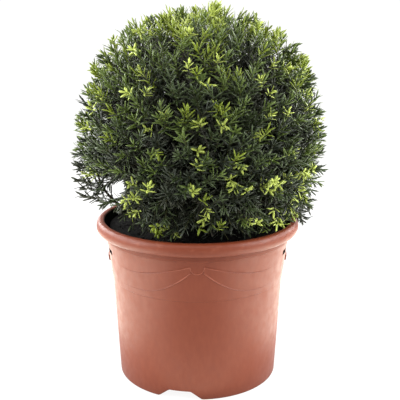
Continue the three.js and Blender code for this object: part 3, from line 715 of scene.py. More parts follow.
# %% [markdown]
# The beads follow the same curves as the festoons' edges and the tabs' rounds, so each curve is written as
# a function of the share of its length. A bead along a festoon gets thinner as the festoon fades.

# %% Run the beads
BEAD, TAB_BEAD = 0.0010, 0.0009


def on_wall(turn, z):
    return Vector((wall_radius(z) * sin(turn), -wall_radius(z) * cos(turn), z))


def on_festoon(bearing, way, edge, along):
    share = along * SWAG_SHOWN
    return on_wall(radians(bearing) + way * (share - 0.5) * SWAG_SPAN, drape(edge, share))


def round_tab(bearing, along):
    turn = pi * (1 + along)
    x, z = TAB_HALF * cos(turn), TAB_ROUND_MIDDLE + TAB_HALF * sin(turn)
    return on_wall(radians(bearing) + x / NECK_WALL_RADIUS, z)


def bead_radius(along):
    return BEAD * (1 - SWAG_FADE * along**2)


bm = bmesh.new()
for bearing, way in swags:
    for edge in (SWAG_TOP, SWAG_HEM):
        rod_along(bm, lambda along: on_festoon(bearing, way, edge, along), bead_radius,
                  sides=8, cuts=80, across=Vector((0, 0, 1)))
for bearing in TABS.values():
    rod_along(bm, lambda along: round_tab(bearing, along), lambda along: TAB_BEAD,
              sides=8, cuts=40, across=heading(bearing, 0))
relief_piece(bm, "beads", bead_highlight_plastic)

# %% [markdown]
# ## Soil
# Dark potting soil fills the pot to just under the rim. A smooth disc would look like rubber, so the
# surface is lifted and dented by a fractal noise, which is the same on every run.

# %% Fill the pot with soil
SOIL_EDGE = 0.229
SOIL_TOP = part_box("soil")[1].z
SOIL_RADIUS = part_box("soil")[1].x
SOIL_FLAT = 0.040
SOIL_CLEAR = 0.0003
SOIL_RINGS = 44
SOIL_RELIEF, SOIL_WAVES = 0.0022, 70
SOIL_FRACTAL = (0.8, 2.2, 4)
EDGE_KEPT = 0.001


def soil_height(radius):
    slope = max(0, (radius - SOIL_FLAT) / (SOIL_RADIUS - SOIL_FLAT))
    return SOIL_TOP + (SOIL_EDGE - SOIL_TOP) * slope


rings = [SOIL_RADIUS * i / SOIL_RINGS for i in range(SOIL_RINGS, -1, -1)]
base_radius = wall_radius(FLOOR_TOP) - WALL - SOIL_CLEAR
base = [(0, FLOOR_TOP + SOIL_CLEAR), (base_radius, FLOOR_TOP + SOIL_CLEAR)]
bm = spun(base + [(radius, soil_height(radius)) for radius in rings], steps=128)
for vert in bm.verts:
    radius = hypot(vert.co.x, vert.co.y)
    if vert.co.z > SOIL_EDGE - EDGE_KEPT and SOIL_FLAT / 2 < radius < SOIL_RADIUS - EDGE_KEPT:
        vert.co.z += SOIL_RELIEF * noise.fractal(vert.co * SOIL_WAVES, *SOIL_FRACTAL)
soil = piece_from(bm, "soil_mound", soil_earth)
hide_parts("soil")

# %% [markdown]
# Loose crumbs lie on the soil. Each is a small ball of few faces, squashed and dented by noise, and a
# seeded random generator scatters them clear of the stem. The dent along each axis is the same noise, read
# at a shifted place, because noise_vector changes from run to run.

# %% Scatter crumbs on the soil
CRUMBS = 420
CRUMB_SIZE = (0.0010, 0.0028)
CRUMB_AREA, CRUMB_REACH = (0.12, 1), 0.97
CRUMB_SQUASH = (0.6, 1.3)
CRUMB_DENT, CRUMB_WAVES = 0.35, 900
DENT_SHIFTS = Vector((9.3, -1.5, -8.0)), Vector((0, 0, 0)), Vector((6.3, 0.2, -2.7))

rng = np.random.default_rng(seed=7)
bm = bmesh.new()
for _ in range(CRUMBS):
    size = rng.uniform(*CRUMB_SIZE)
    radius = SOIL_RADIUS * CRUMB_REACH * sqrt(rng.uniform(*CRUMB_AREA))
    turn = rng.uniform(0, 2 * pi)
    place = Vector((radius * cos(turn), radius * sin(turn), soil_height(radius)))
    made = bmesh.ops.create_icosphere(bm, subdivisions=1, radius=size)["verts"]
    squash = Vector(rng.uniform(*CRUMB_SQUASH, 3))
    for vert in made:
        spot = vert.co / size + place * CRUMB_WAVES
        dent = Vector([noise.noise(spot + shift) for shift in DENT_SHIFTS])
        vert.co = vert.co * squash + dent * size * CRUMB_DENT + place
crumbs = piece_from(bm, "soil_crumbs", soil_earth, smooth=False)
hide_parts("soil")

# %% [markdown]
# ## Bark
# Yew bark is thin and brown and peels in flakes along the limb. In the crown's shade it is nearly black.
# Its colour comes from a noise that is drawn out lengthwise, and a finer one raises the flakes' edges. The
# fine twigs are younger: their bark is smoother and a little green.

# %% Mix the bark
BROWNS = [(0.32, shade((26, 21, 17))), (0.5, shade((46, 36, 28))), (0.7, shade((72, 56, 43)))]
TWIG_TINTS = [(0.35, shade((22, 21, 16))), (0.65, shade((46, 42, 31)))]

bark = new_material("yew_bark", roughness=0.85, specular=0.25)
flakes = noise_on(bark, waves=120, stretch=(1, 1, 0.25), detail=6)
feed(bark, "Base Color", ramp(bark, flakes, BROWNS))
rough_by(bark, flakes, low=0.75, high=0.95)
bump_by(bark, noise_on(bark, waves=500, stretch=(1, 1, 0.3), detail=4), height=0.0008)
twig_bark = new_material("twig_bark", roughness=0.8, specular=0.2)
grain = noise_on(twig_bark, waves=150, stretch=(1, 1, 0.4))
feed(twig_bark, "Base Color", ramp(twig_bark, grain, TWIG_TINTS))
bump_by(twig_bark, noise_on(twig_bark, waves=800), height=0.0004)
print("two barks mixed")

# %% [markdown]
# ## Stem and boughs
# The short stem stands inside the foliage, and eleven boughs fork from it, one to each mass of foliage
# round the sides. A twelfth, low on the left, is the only one that shows. Each limb could be a line with a
# Skin modifier. A rod bent along its curve keeps to the CAD model's taper and takes the bark's relief.

# %% Where the crown's masses lie
CROWN_CENTRE = Vector((0, 0, 0.360))
UPPER_MASSES, UPPER_TILT, UPPER_TURN = 5, 38, 0.5
LOWER_MASSES, LOWER_TILT, LOWER_TURN = 6, -14, 0.25
UPPER_BOUGH, LOWER_BOUGH, BOUGH_SPACING = 0.312, 0.257, 0.005

masses = [("top", Vector((0, 0, 1)), None)]
for i in range(UPPER_MASSES):
    root = UPPER_BOUGH + 2 * i % UPPER_MASSES * BOUGH_SPACING
    masses.append((f"upper_{i + 1}", heading((i + UPPER_TURN) * 360 / UPPER_MASSES, UPPER_TILT), root))
for i in range(LOWER_MASSES):
    root = LOWER_BOUGH + (3 * i % LOWER_MASSES + i // 2) * BOUGH_SPACING
    masses.append((f"lower_{i + 1}", heading((i + LOWER_TURN) * 360 / LOWER_MASSES, LOWER_TILT), root))
print(len(masses), "masses of foliage")

# %% [markdown]
# The stem sways a little to one side and back, as a stem does that has been pruned. It tapers, and it
# flares at its foot, where the roots begin.

# %% Grow the stem
STEM_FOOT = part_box("stem")[0].z
STEM_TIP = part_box("stem")[1].z
STEM_RADIUS, STEM_TIP_RADIUS = 0.0115, 0.003
STEM_FLARE, FLARE_HEIGHT = 0.55, 0.009
STEM_SWAY = Vector((0.0022, -0.00154, 0))
SWAY_AT = (0, 0.08, 0.36, 0.66, 0.9, 1)
SWAY_SIDE = (0, 0, 1, -1, 0, 0)


def stem_point(share):
    side = float(np.interp(share, SWAY_AT, SWAY_SIDE))
    return Vector((0, 0, STEM_FOOT + (STEM_TIP - STEM_FOOT) * share)) + STEM_SWAY * sin(side * pi / 2)


def taper(thick, thin):
    return lambda share: thick + (thin - thick) * share


def stem_radius(share):
    flare = 1 + STEM_FLARE * exp(-share * (STEM_TIP - STEM_FOOT) / FLARE_HEIGHT)
    return taper(STEM_RADIUS, STEM_TIP_RADIUS)(share) * flare


bm = bmesh.new()
rod_along(bm, stem_point, stem_radius, sides=20, cuts=48, across=Vector((1, 0, 0)), relief=0.09)
stem = piece_from(bm, "stem_bark", bark)
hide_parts("stem")

# %% [markdown]
# A bough leaves the stem, bends and ends in the direction of its mass. Three points are enough for such a
# curve: its root, its bend and its tip. Branches and twigs use the same formula later, on whole arrays.

# %% Grow the boughs
BOUGH_REACH, BOUGH_STRAIGHT_END, BOUGH_SIDES = 0.072, 0.030, 10
BOUGH_RADII, LOW_RADII = (0.0042, 0.0024), (0.0032, 0.0014)
LOW_BOUGH = Vector((-0.001, 0.001, 0.246)), Vector((-0.130, 0, 0.218)), Vector((-0.150, 0, 0.312))


def on_curve(root, bend, tip, t):
    return root * (1 - t) ** 2 + bend * 2 * t * (1 - t) + tip * t * t


def grow_bough(bm, points, radii, cuts, across):
    rod_along(bm, lambda t: on_curve(*points, t), taper(*radii), BOUGH_SIDES, cuts, across, relief=0.12)


bm = bmesh.new()
bough_nodes = []
for place, toward, height in masses[1:]:
    root = stem_point((height - STEM_FOOT) / (STEM_TIP - STEM_FOOT))
    tip = CROWN_CENTRE + toward * BOUGH_REACH
    points = root, tip - toward * BOUGH_STRAIGHT_END, tip
    grow_bough(bm, points, BOUGH_RADII, cuts=18, across=toward.cross(Vector((0, 0, 1))))
    bough_nodes.append(f"bough_{place}")
grow_bough(bm, LOW_BOUGH, LOW_RADII, cuts=28, across=Vector((0, 1, 0)))
boughs = piece_from(bm, "boughs_bark", bark)
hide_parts(*bough_nodes, "bough_low")

# %% [markdown]
# ## How the crown grows
# A clipped yew is a dense shell of short shoots on fine twigs. Growing it one object at a time would take
# far too long, so the whole crown is worked out in arrays, a row for each twig or needle, by the CAD
# model's rule: every mass has a stem, branches fork from it, and their tips spread evenly over the clipped
# outline.

# %% The clipped outline
CROWN_RADIUS, CROWN_RISE = 0.1830, 0.1975
CROWN_FULLNESS = 2.4
CROWN_MIDDLE = np.array([0.0045, 0, 0.348])
GOLDEN_TURN = pi * (3 - sqrt(5))
centre = np.array(CROWN_CENTRE)
toward_of = np.array([toward for _, toward, _ in masses])
rng = np.random.default_rng(seed=26)


def unit(v):
    return v / np.linalg.norm(v, axis=-1, keepdims=True)


def crown_reach(way):
    """Distance from the outline's middle to the outline along unit directions."""
    power = np.where(way[:, 2] > 0, CROWN_FULLNESS, 2)
    rise = np.where(way[:, 2] > 0, CROWN_RISE, CROWN_RADIUS)
    flat = np.hypot(way[:, 0], way[:, 1]) / CROWN_RADIUS
    return (flat**power + (np.abs(way[:, 2]) / rise) ** power) ** (-1 / power)


def even_directions(count, lowest):
    """Directions spread evenly over a ball, by golden turns, down to a lowest tilt."""
    step = np.arange(count) + 0.5
    z = 1 - 2 * step / count
    turn = step * GOLDEN_TURN
    flat = np.sqrt(1 - z * z)
    ways = np.stack([np.cos(turn) * flat, np.sin(turn) * flat, z], 1)
    return ways[z > sin(radians(lowest))]


print("reach upwards", crown_reach(np.array([[0, 0, 1.0]]))[0], "m")

# %% [markdown]
# A point keeps clear when it is above the rim, beside the lip, or in the pot's mouth above the soil. It also
# has to be outside the opening low on the left through which the light shows. Four hollows stay open at the
# crown's foot: one in front and two on the left let the soil show, and in the fourth the low bough's tuft
# stands free. The same test is used for shoots, twigs and later for single needles.

# %% Keep clear of pot, soil and the openings
MOUTH_RADIUS = 0.131
CLEARANCE = 0.0015
GAP_POINT = np.array([-0.1163, 0, 0.2835])
GAP_LINE = unit(np.array([-0.105, 0.975, -0.224]))
GAP_RADIUS, GAP_CORE = 0.013, 0.006
HOLLOWS = (
    ((-0.003, -0.118, 0.254), 0.015),
    ((-0.106, -0.036, 0.243), 0.030),
    ((-0.106, -0.082, 0.246), 0.029),
    ((-0.153, 0.000, 0.284), 0.031),
)


def keeps_clear(points, gap_radius):
    flat = np.hypot(points[:, 0], points[:, 1])
    over_rim = points[:, 2] > POT_HEIGHT + CLEARANCE
    in_mouth = (flat < MOUTH_RADIUS) & (points[:, 2] > SOIL_TOP + CLEARANCE)
    from_gap = np.linalg.norm(np.cross(points - GAP_POINT, GAP_LINE), axis=1)
    beside = flat > LIP_RADIUS + CLEARANCE
    clear = (over_rim | in_mouth | beside) & (from_gap > gap_radius)
    for middle, radius in HOLLOWS:
        clear &= np.linalg.norm(points - middle, axis=1) > radius
    return clear


# %% [markdown]
# ## Branches
# From every mass's stem some fourteen branches fan out towards the outline. Each is a short curve that
# leaves along the mass and bends to its own direction.

# %% Fork the branches
BRANCHES, BRANCH_LOWEST = 190, -50
BRANCH_ROOT = (0.086, 0.116)
BRANCH_REACH = 0.74
BRANCH_START, BRANCH_BEND = 0.012, 0.35

branch_way = even_directions(BRANCHES, BRANCH_LOWEST)
branch_mass = np.argmax(branch_way @ toward_of.T, axis=1)
along_mass = toward_of[branch_mass]
branch_root = centre + along_mass * rng.uniform(*BRANCH_ROOT, (len(branch_way), 1))
branch_tip = centre + branch_way * (crown_reach(branch_way) * BRANCH_REACH)[:, None]
branch_bend = branch_root + along_mass * BRANCH_START + (branch_tip - branch_root) * BRANCH_BEND
print(len(branch_way), "branches")

# %% [markdown]
# ## Shoots
# A shoot is the last stretch of a twig, and the only part with needles. Shoots grow outwards and lean up to
# the light, but at the crown's foot they droop. Their tips crowd at the outline, some a little short of it.

# %% Place shoots on the outline
LEAN_UP, LEAN_DOWN, DROOP_BELOW = 0.55, -0.25, -0.3
JITTER = 0.25
CROWDING = 1.4
CLUMPS, CLUMP_WAVES = 0.03, 5
NEEDLES_PAST_TIP = 0.009


def waves_at(ways, waves):
    return np.array([noise.noise(Vector(way) * waves) for way in ways])


def jittered(ways):
    return unit(ways + rng.normal(0, 1 / sqrt(len(ways)), ways.shape))


def place_shoots(way, shares, lengths, jitter=JITTER):
    """Tips, growing directions and lengths of shoots that end at a share of the outline."""
    low, high = shares
    share = high - (high - low) * rng.random(len(way)) ** CROWDING + CLUMPS * waves_at(way, CLUMP_WAVES)
    tip = CROWN_MIDDLE + way * (crown_reach(way) * np.minimum(share, high) - NEEDLES_PAST_TIP)[:, None]
    up = np.array([0, 0, 1.0]) - way * way[:, 2:]
    lean = np.where(way[:, 2] > DROOP_BELOW, LEAN_UP, LEAN_DOWN)[:, None]
    forward = unit(way + up * lean + rng.normal(0, jitter, way.shape))
    return tip, forward, rng.uniform(*lengths, len(way))


# %% [markdown]
# The crown is four shells, one inside the other. The outer shoots end at the outline, and three more shells
# fill the depth behind them. A noise thins the outer shell in patches, so that the dark inside shows.

# %% Grow the shells
PATCH_WAVES, PATCH_FROM = 10, -0.18
OUTER_SHELL = (1350, -46, (0.91, 1.0), (0.028, 0.042))
INNER_SHELL = (800, -54, (0.76, 0.89), (0.028, 0.040))
DEEP_SHELL = (520, -58, (0.56, 0.76), (0.028, 0.038))
CORE_SHELL = (220, -40, (0.36, 0.54), (0.028, 0.038))


def grow_shell(count, lowest, shares, lengths, thinned=False):
    ways = jittered(even_directions(count, lowest))
    if thinned:
        ways = ways[waves_at(ways, PATCH_WAVES) > PATCH_FROM]
    return place_shoots(ways, shares, lengths)


outer = grow_shell(*OUTER_SHELL, thinned=True)
inner, deep, core = (grow_shell(*shell) for shell in (INNER_SHELL, DEEP_SHELL, CORE_SHELL))
print("shoots in the shells:", len(outer[0]), len(inner[0]), len(deep[0]), len(core[0]))

# %% [markdown]
# The shears missed some growth. Loose sprays hang over the rim on the right and behind, three tufts stand
# out of the top and the right shoulder, and stray shoots break the outline and lie over the pot's lip. A
# tuft is a handful of shoots with their tips close together.

# %% Place the loose sprays, the tufts and the strays
LOOSE_SPRAYS = (((60, 112), (-38, -16), 9), ((120, 250), (-36, -18), 14))
LOOSE_SHARES, LOOSE_LENGTH = (0.97, 1.07), (0.028, 0.040)
TUFTS = ((0.0275, 0, 0.5530), (-0.0456, 0, 0.537), (0.159, 0, 0.478))
STRAYS = (
    (0.074, 0, 0.537), (0.088, 0, 0.530), (0.150, 0, 0.487), (0.172, 0, 0.448), (0.186, 0, 0.365),
    (0.188, 0, 0.338), (0.187, 0, 0.306), (0.042, 0, 0.546), (0.005, 0, 0.547), (-0.026, 0, 0.546),
    (-0.060, 0, 0.535), (-0.143, 0, 0.478), (-0.181, 0, 0.378), (-0.187, 0, 0.338), (-0.185, 0, 0.312),
)
RIM_STRAYS = (
    (0.176, 0, 0.272), (0.172, -0.01, 0.256), (0.177, 0, 0.250), (0.170, -0.03, 0.249),
    (0.168, -0.01, 0.240), (0.133, -0.045, 0.243), (0.128, -0.062, 0.243), (0.142, -0.030, 0.243),
    (0.120, -0.078, 0.243),
)
TUFT_SHOOTS, STRAY_SHOOTS, RIM_STRAY_SHOOTS = 6, 4, 2
TUFT_SPREAD, TUFT_NEEDLES, TUFT_LENGTH = 0.007, 0.013, (0.02, 0.03)


def scattered(bearings, tilts, count):
    return [heading(rng.uniform(*bearings), rng.uniform(*tilts)) for _ in range(count)]


def place_tufts(ends, count):
    """Tips, directions and lengths of count shoots that stand together at each end."""
    tips = np.repeat(np.array(ends), count, axis=0)
    ways = unit(unit(tips - CROWN_MIDDLE) + rng.normal(0, JITTER, tips.shape))
    tips += rng.normal(0, TUFT_SPREAD, tips.shape) * (1 - np.abs(ways)) - ways * TUFT_NEEDLES
    return tips, ways, rng.uniform(*TUFT_LENGTH, len(tips))


loose_ways = np.concatenate([scattered(*spray) for spray in LOOSE_SPRAYS])
loose = place_shoots(loose_ways, LOOSE_SHARES, LOOSE_LENGTH)
tufts = place_tufts(TUFTS, TUFT_SHOOTS)
strays = place_tufts(STRAYS, STRAY_SHOOTS)
rim_strays = place_tufts(RIM_STRAYS, RIM_STRAY_SHOOTS)
print(len(loose_ways), "loose sprays,", len(tufts[0]), "shoots in tufts,", len(strays[0]), "strays")

# %% [markdown]
# The youngest growth sits in small bright rosettes all over the crown, and more of them round its foot.
# They are very short shoots that point every way.

# %% Place the rosettes
ROSETTES, ROSETTE_LOWEST, ROSETTE_SHIFT = 200, -42, 0.12
FOOT_ROSETTES, FOOT_TILTS = 80, (-40, -6)
ROSETTE_SHARES, ROSETTE_STEM = (0.94, 1.0), (0.008, 0.012)
ROSETTE_JITTER = 0.6

rosette_ways = unit(even_directions(ROSETTES, ROSETTE_LOWEST) + rng.normal(0, ROSETTE_SHIFT, (1, 3)))
foot_ways = np.array(scattered((0, 360), FOOT_TILTS, FOOT_ROSETTES))
rosette_ways = np.concatenate([jittered(rosette_ways), foot_ways])
rosettes = place_shoots(rosette_ways, ROSETTE_SHARES, ROSETTE_STEM, ROSETTE_JITTER)
print(len(rosettes[0]), "rosettes")

# %% [markdown]
# The low bough shows on the left, beside the opening. It leaves the stem's foot, runs out over the soil,
# bends up and carries a few dark shoots: two of three reach out to the left, and the third goes on along
# the bough.

# %% Grow shoots on the low bough
LOW_SHOOTS, LOW_FROM, LOW_NUDGE = 14, 0.62, 0.02
LOW_REACH, LOW_REACH_LUCK = (0.049, 0.022), (0.85, 1.0)
LOW_DEPTH, LOW_LIFT, LOW_LIFT_LUCK = 0.012, 0.013, 0.004
LOW_SPREAD, LOW_LENGTH = 0.3, 0.015
LOW_WOBBLE, LOW_PAST_END = 0.002, 0.003

low_line = [np.array(point) for point in LOW_BOUGH]
low_share = np.linspace(LOW_FROM, 1.0, LOW_SHOOTS)[:, None]
low_fork = on_curve(*low_line, low_share)
low_along = unit(on_curve(*low_line, low_share + LOW_NUDGE) - low_fork)
goes_on = np.arange(LOW_SHOOTS) % 3 == 1
low_reach = np.linspace(*LOW_REACH, LOW_SHOOTS) * rng.uniform(*LOW_REACH_LUCK, LOW_SHOOTS)
low_depth = rng.normal(0, LOW_DEPTH, LOW_SHOOTS)
low_lift = rng.normal(LOW_LIFT, LOW_LIFT_LUCK, LOW_SHOOTS)
to_left = np.stack([-low_reach, low_depth, low_lift], 1)
onward = (low_along + np.cross([0, 1.0, 0], low_along) * LOW_SPREAD) * LOW_LENGTH
low_step = np.where(goes_on[:, None], onward, to_left)
low_way = unit(low_step + rng.normal(0, LOW_WOBBLE, low_step.shape))
low_length = np.linalg.norm(low_step, axis=1)
low = low_fork + low_way * (low_length[:, None] + LOW_PAST_END), low_way, low_length
print(LOW_SHOOTS, "shoots on the low bough")

# %% [markdown]
# All shoots now go into one set of arrays, with a number for their kind, so that later steps can treat them
# together and still give each kind its own spacing, width and colour.

# %% Put all shoots together
OUTER, INNER, DEEP, ROSETTE, TUFT, LOW = range(6)

sets = [
    (outer, OUTER), (inner, INNER), (deep, DEEP), (core, DEEP), (loose, OUTER),
    (strays, OUTER), (rim_strays, OUTER), (rosettes, ROSETTE), (tufts, TUFT), (low, LOW),
]
kind = np.concatenate([np.full(len(some[0]), name) for some, name in sets])
shoot_tip, shoot_way, shoot_length = (np.concatenate([some[i] for some, _ in sets]) for i in range(3))
shoot_base = shoot_tip - shoot_way * shoot_length[:, None]
print("shoots of each kind:", np.bincount(kind))

# %% [markdown]
# ## Twigs
# Every shoot hangs on the branch of its own mass that points nearest to it. The twig between them leaves
# the branch part of the way along and arrives in the shoot's own direction, so the bend is smooth.

# %% Join the shoots to the branches
FORK_SHARE, DEEP_FORK = (0.45, 1.0), 0.7
TWIG_BEND = 0.45

from_centre = unit(shoot_base - centre)
shoot_mass = np.argmax(from_centre @ toward_of.T, axis=1)
likeness = from_centre @ branch_way.T
likeness[shoot_mass[:, None] != branch_mass[None, :]] = -1
nearest = np.argmax(likeness, axis=1)
fork_share = rng.uniform(*FORK_SHARE, (len(shoot_tip), 1)) * np.where(kind == DEEP, DEEP_FORK, 1)[:, None]
fork = on_curve(branch_root[nearest], branch_bend[nearest], branch_tip[nearest], fork_share)
fork[kind == LOW] = low_fork
twig_length = np.linalg.norm(shoot_base - fork, axis=1, keepdims=True)
twig_bend = shoot_base - shoot_way * twig_length * TWIG_BEND

# %% [markdown]
# A shoot and its twig are tested at their ends and at some points between. Where one of these would not keep
# clear, neither grows. The low bough's shoots stand in a hollow of their own, so they all stay.

# %% Leave out shoots that would not keep clear
TWIG_TESTS = (0.25, 0.5, 0.75)

tests = [shoot_tip, shoot_base, (shoot_tip + shoot_base) / 2]
tests += [on_curve(fork, twig_bend, shoot_base, t) for t in TWIG_TESTS]
clear = np.all([keeps_clear(points, GAP_RADIUS) for points in tests], axis=0) | (kind == LOW)
shoot_tip, shoot_way, shoot_length, shoot_base, kind, fork, twig_bend = (
    a[clear] for a in (shoot_tip, shoot_way, shoot_length, shoot_base, kind, fork, twig_bend))
print(len(shoot_tip), "shoots keep clear")

# %% [markdown]
# An operator makes one thing at a time, which would be slow for some thousands of twigs. Blender can also
# fill a mesh from arrays, one with the points' places and one with the numbers of each triangle's corners.
# So the triangles of one twig or needle are repeated for all the others, with an offset.

# %% Make a mesh from arrays
def mesh_from(name, points, triangles):
    """A mesh from an array of points and one of corner numbers."""
    mesh = bpy.data.meshes.new(name)
    mesh.vertices.add(len(points))
    mesh.vertices.foreach_set("co", points.astype(np.float32).ravel())
    mesh.loops.add(triangles.size)
    mesh.loops.foreach_set("vertex_index", triangles.astype(np.int32).ravel())
    mesh.polygons.add(len(triangles))
    mesh.polygons.foreach_set("loop_start", np.arange(0, triangles.size, 3, dtype=np.int32))
    mesh.update(calc_edges=True)
    return mesh


def repeated(pattern, count, size):
    """A pattern of triangles for each of count things with size points."""
    return (pattern[None] + (np.arange(count) * size)[:, None, None]).reshape(-1, 3)


foliage_nodes = [f"foliage_{place}" for place, _, _ in masses] + ["foliage_low"]


def plant_piece(name, points, triangles, material, slot):
    piece = add_object(name, mesh_from(name, points, triangles), material)
    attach(piece, "root")
    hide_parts(*foliage_nodes)
    print(f"{name}: {len(triangles)} triangles")


print("the plant's pieces stand for", len(foliage_nodes), "masses")

# %% [markdown]
# A tube is the same few rings of points for every twig, so all twigs are made ring by ring. The rings'
# middles lie on the twigs' curves, and two directions across a twig span its rings.

# %% Make tubes from arrays
NO_TWIGS_WAY = [0.31, 0.87, 0.38]


def tube_pattern(rings, sides):
    triangles = []
    for ring in range(rings - 1):
        for i in range(sides):
            a, b = ring * sides + i, ring * sides + (i + 1) % sides
            triangles += [(a, b, b + sides), (a, b + sides, a + sides)]
    last = (rings - 1) * sides
    for i in range(1, sides - 1):
        triangles += [(0, i + 1, i), (last, last + i, last + i + 1)]
    return np.array(triangles)


def tubes(root, bend, tip, thick, thin, rings, sides):
    """Points and triangles of tapering tubes along curves, one for each row."""
    points = []
    along = unit(tip - root)
    across = unit(np.cross(along, NO_TWIGS_WAY))
    other = np.cross(along, across)
    for t in np.linspace(0, 1, rings):
        middle = on_curve(root, bend, tip, t)
        radius = taper(thick, thin)(t)
        for turn in np.arange(sides) * 2 * pi / sides:
            points.append(middle + radius * (cos(turn) * across + sin(turn) * other))
    points = np.stack(points, 1).reshape(-1, 3)
    return points, repeated(tube_pattern(rings, sides), len(root), rings * sides)


def joined(*groups):
    starts = np.cumsum([0] + [len(points) for points, _ in groups])
    triangles = [corners + start for (_, corners), start in zip(groups, starts)]
    return np.concatenate([points for points, _ in groups]), np.concatenate(triangles)


print("a three-sided tube of four rings has", len(tube_pattern(4, 3)), "triangles")

# %% [markdown]
# The masses' stems, the branches and the twigs are three sizes of tube in one piece. Young shoots are still
# green, so their stems are a second piece with a finish of its own.

# %% Make the twigs and the shoots' stems
MASS_CLEAR, MASS_STEM_END = 0.0003, 0.125
MASS_STEM_TUBE = (0.0024, 0.0018, 4, 7)
BRANCH_TUBE = (0.0017, 0.0010, 6, 5)
TWIG_TUBE = (0.0009, 0.0006, 4, 3)
SHOOT_TUBE = (0.0006, 0.0004, 3, 3)
STEM_TINTS = [(0.35, shade((48, 54, 30))), (0.65, shade((80, 80, 44)))]

mass_root = centre + toward_of * (BOUGH_REACH + MASS_CLEAR)
mass_end = centre + toward_of * MASS_STEM_END
plant_piece("twigs", *joined(
    tubes(mass_root, (mass_root + mass_end) / 2, mass_end, *MASS_STEM_TUBE),
    tubes(branch_root, branch_bend, branch_tip, *BRANCH_TUBE),
    tubes(fork, twig_bend, shoot_base, *TWIG_TUBE),
), twig_bark, "bark")

green_stem = new_material("green_stem", roughness=0.6, specular=0.3)
feed(green_stem, "Base Color", ramp(green_stem, noise_on(green_stem, waves=60), STEM_TINTS))
bump_by(green_stem, noise_on(green_stem, waves=900), height=0.0003)
shoot_middle = (shoot_base + shoot_tip) / 2
plant_piece("shoot_stems", *tubes(shoot_base, shoot_middle, shoot_tip, *SHOOT_TUBE), green_stem, "bark")

# %% [markdown]
# ## Needles
# Needles stand round a shoot by golden turns, wide open at its foot and closing round its tip. On many
# shoots they are pressed towards two ranks, as on a real yew's side shoots, so each shoot has a flatness of
# its own. There are tens of thousands, and every array below has a row for each.

# %% Set the needles round the shoots
NEEDLE_SPACING = np.array([0.0022, 0.0020, 0.0017, 0.0013, 0.0017, 0.0030])
OPEN_ANGLE, TIP_ANGLE, CLOSING = 62, 22, 1.3
ROSETTE_OPENS = 10
FLATNESS = (0.45, 1.0)
TURN_LUCK, ANGLE_LUCK = 0.2, 7
BARE_FOOT = 0.08
NEARLY_UP = [0.01, 0, 1.0]

is_rosette = kind == ROSETTE
per_shoot = (shoot_length / NEEDLE_SPACING[kind]).astype(int)
owner = np.repeat(np.arange(len(per_shoot)), per_shoot)
order = np.arange(len(owner)) - np.repeat(np.cumsum(per_shoot) - per_shoot, per_shoot)
share = (order + 0.5) / per_shoot[owner]
axis = shoot_way[owner]
side = unit(np.cross(NEARLY_UP, axis))
face = np.cross(axis, side)
flatness = rng.uniform(*FLATNESS, len(per_shoot))[owner]
first_turn = rng.uniform(0, 2 * pi, len(per_shoot))[owner]
turn = order * GOLDEN_TURN + first_turn + rng.normal(0, TURN_LUCK, len(owner))
outward = unit(np.cos(turn)[:, None] * side + (np.sin(turn) * flatness)[:, None] * face)
opening = OPEN_ANGLE + (TIP_ANGLE - OPEN_ANGLE) * share**CLOSING + ROSETTE_OPENS * is_rosette[owner]
opening = np.radians(opening + rng.normal(0, ANGLE_LUCK, len(owner)))
needle_way = np.cos(opening)[:, None] * axis + np.sin(opening)[:, None] * outward
from_base = shoot_length[owner] * (BARE_FOOT + (1 - BARE_FOOT) * share)
needle_root = shoot_base[owner] + axis * from_base[:, None]
print(len(owner), "needles set out")

# %% [markdown]
# Needles are longest in the middle of a shoot, and those of a rosette are short. Where a needle would touch
# the pot, fill the opening or stand too far out of the clipped outline, it is left out.

# %% Give the needles their lengths and leave some out
NEEDLE_LENGTH, ROSETTE_LENGTH = (0.0150, 0.0200), (0.0100, 0.0140)
END_FULL, MIDDLE_FULLER = 0.72, 0.28
FULL_FROM, FULL_SPAN = 0.12, 0.86
OVERSHOOT = 1.07

fullness = END_FULL + MIDDLE_FULLER * np.sin(pi * (FULL_FROM + FULL_SPAN * share))
luck = rng.random(len(owner))
shortest, longest = np.where(is_rosette[owner], np.array([ROSETTE_LENGTH]).T, np.array([NEEDLE_LENGTH]).T)
needle_length = (shortest + (longest - shortest) * luck) * fullness
needle_tip = needle_root + needle_way * needle_length[:, None]
from_middle = needle_tip - CROWN_MIDDLE
within = np.linalg.norm(from_middle, axis=1) < crown_reach(unit(from_middle)) * OVERSHOOT
clear = keeps_clear(needle_tip, GAP_CORE) & keeps_clear((needle_root + needle_tip) / 2, GAP_CORE)
kept = within & clear | (kind[owner] == LOW)
owner, share, axis, needle_way, needle_root, needle_length = (
    a[kept] for a in (owner, share, axis, needle_way, needle_root, needle_length))
print(len(owner), "needles kept")

# %% [markdown]
# A yew needle is a narrow flat blade with a ridge along its upper side and a short point. Here it has two
# three-cornered rings, a point where it joins the shoot and one at its tip: eight points and twelve
# triangles are enough for its outline, because there are so many. The tip curls back a little.

# %% Shape the needles
NEEDLE_WIDTH = (0.0022, 0.0029)
BROADER = np.array([1, 1, 1, 1.25, 1, 1.25])
NEEDLE_RINGS = ((0.16, 0.9), (0.74, 1.0))
RIDGE = 0.22
CURL = 0.10
NEEDLE_PATTERN = np.array([
    (0, 2, 1), (0, 3, 2), (0, 1, 3),
    (1, 2, 5), (1, 5, 4), (2, 3, 6), (2, 6, 5), (3, 1, 4), (3, 4, 6),
    (4, 5, 7), (5, 6, 7), (6, 4, 7),
])

upper = unit(axis - needle_way * np.sum(axis * needle_way, axis=1, keepdims=True))
broad = np.cross(upper, needle_way)
width = rng.uniform(*NEEDLE_WIDTH, (len(owner), 1)) * BROADER[kind[owner]][:, None]
reach = needle_length[:, None]


def along_needle(t):
    return needle_root + needle_way * reach * t - upper * reach * CURL * t * t


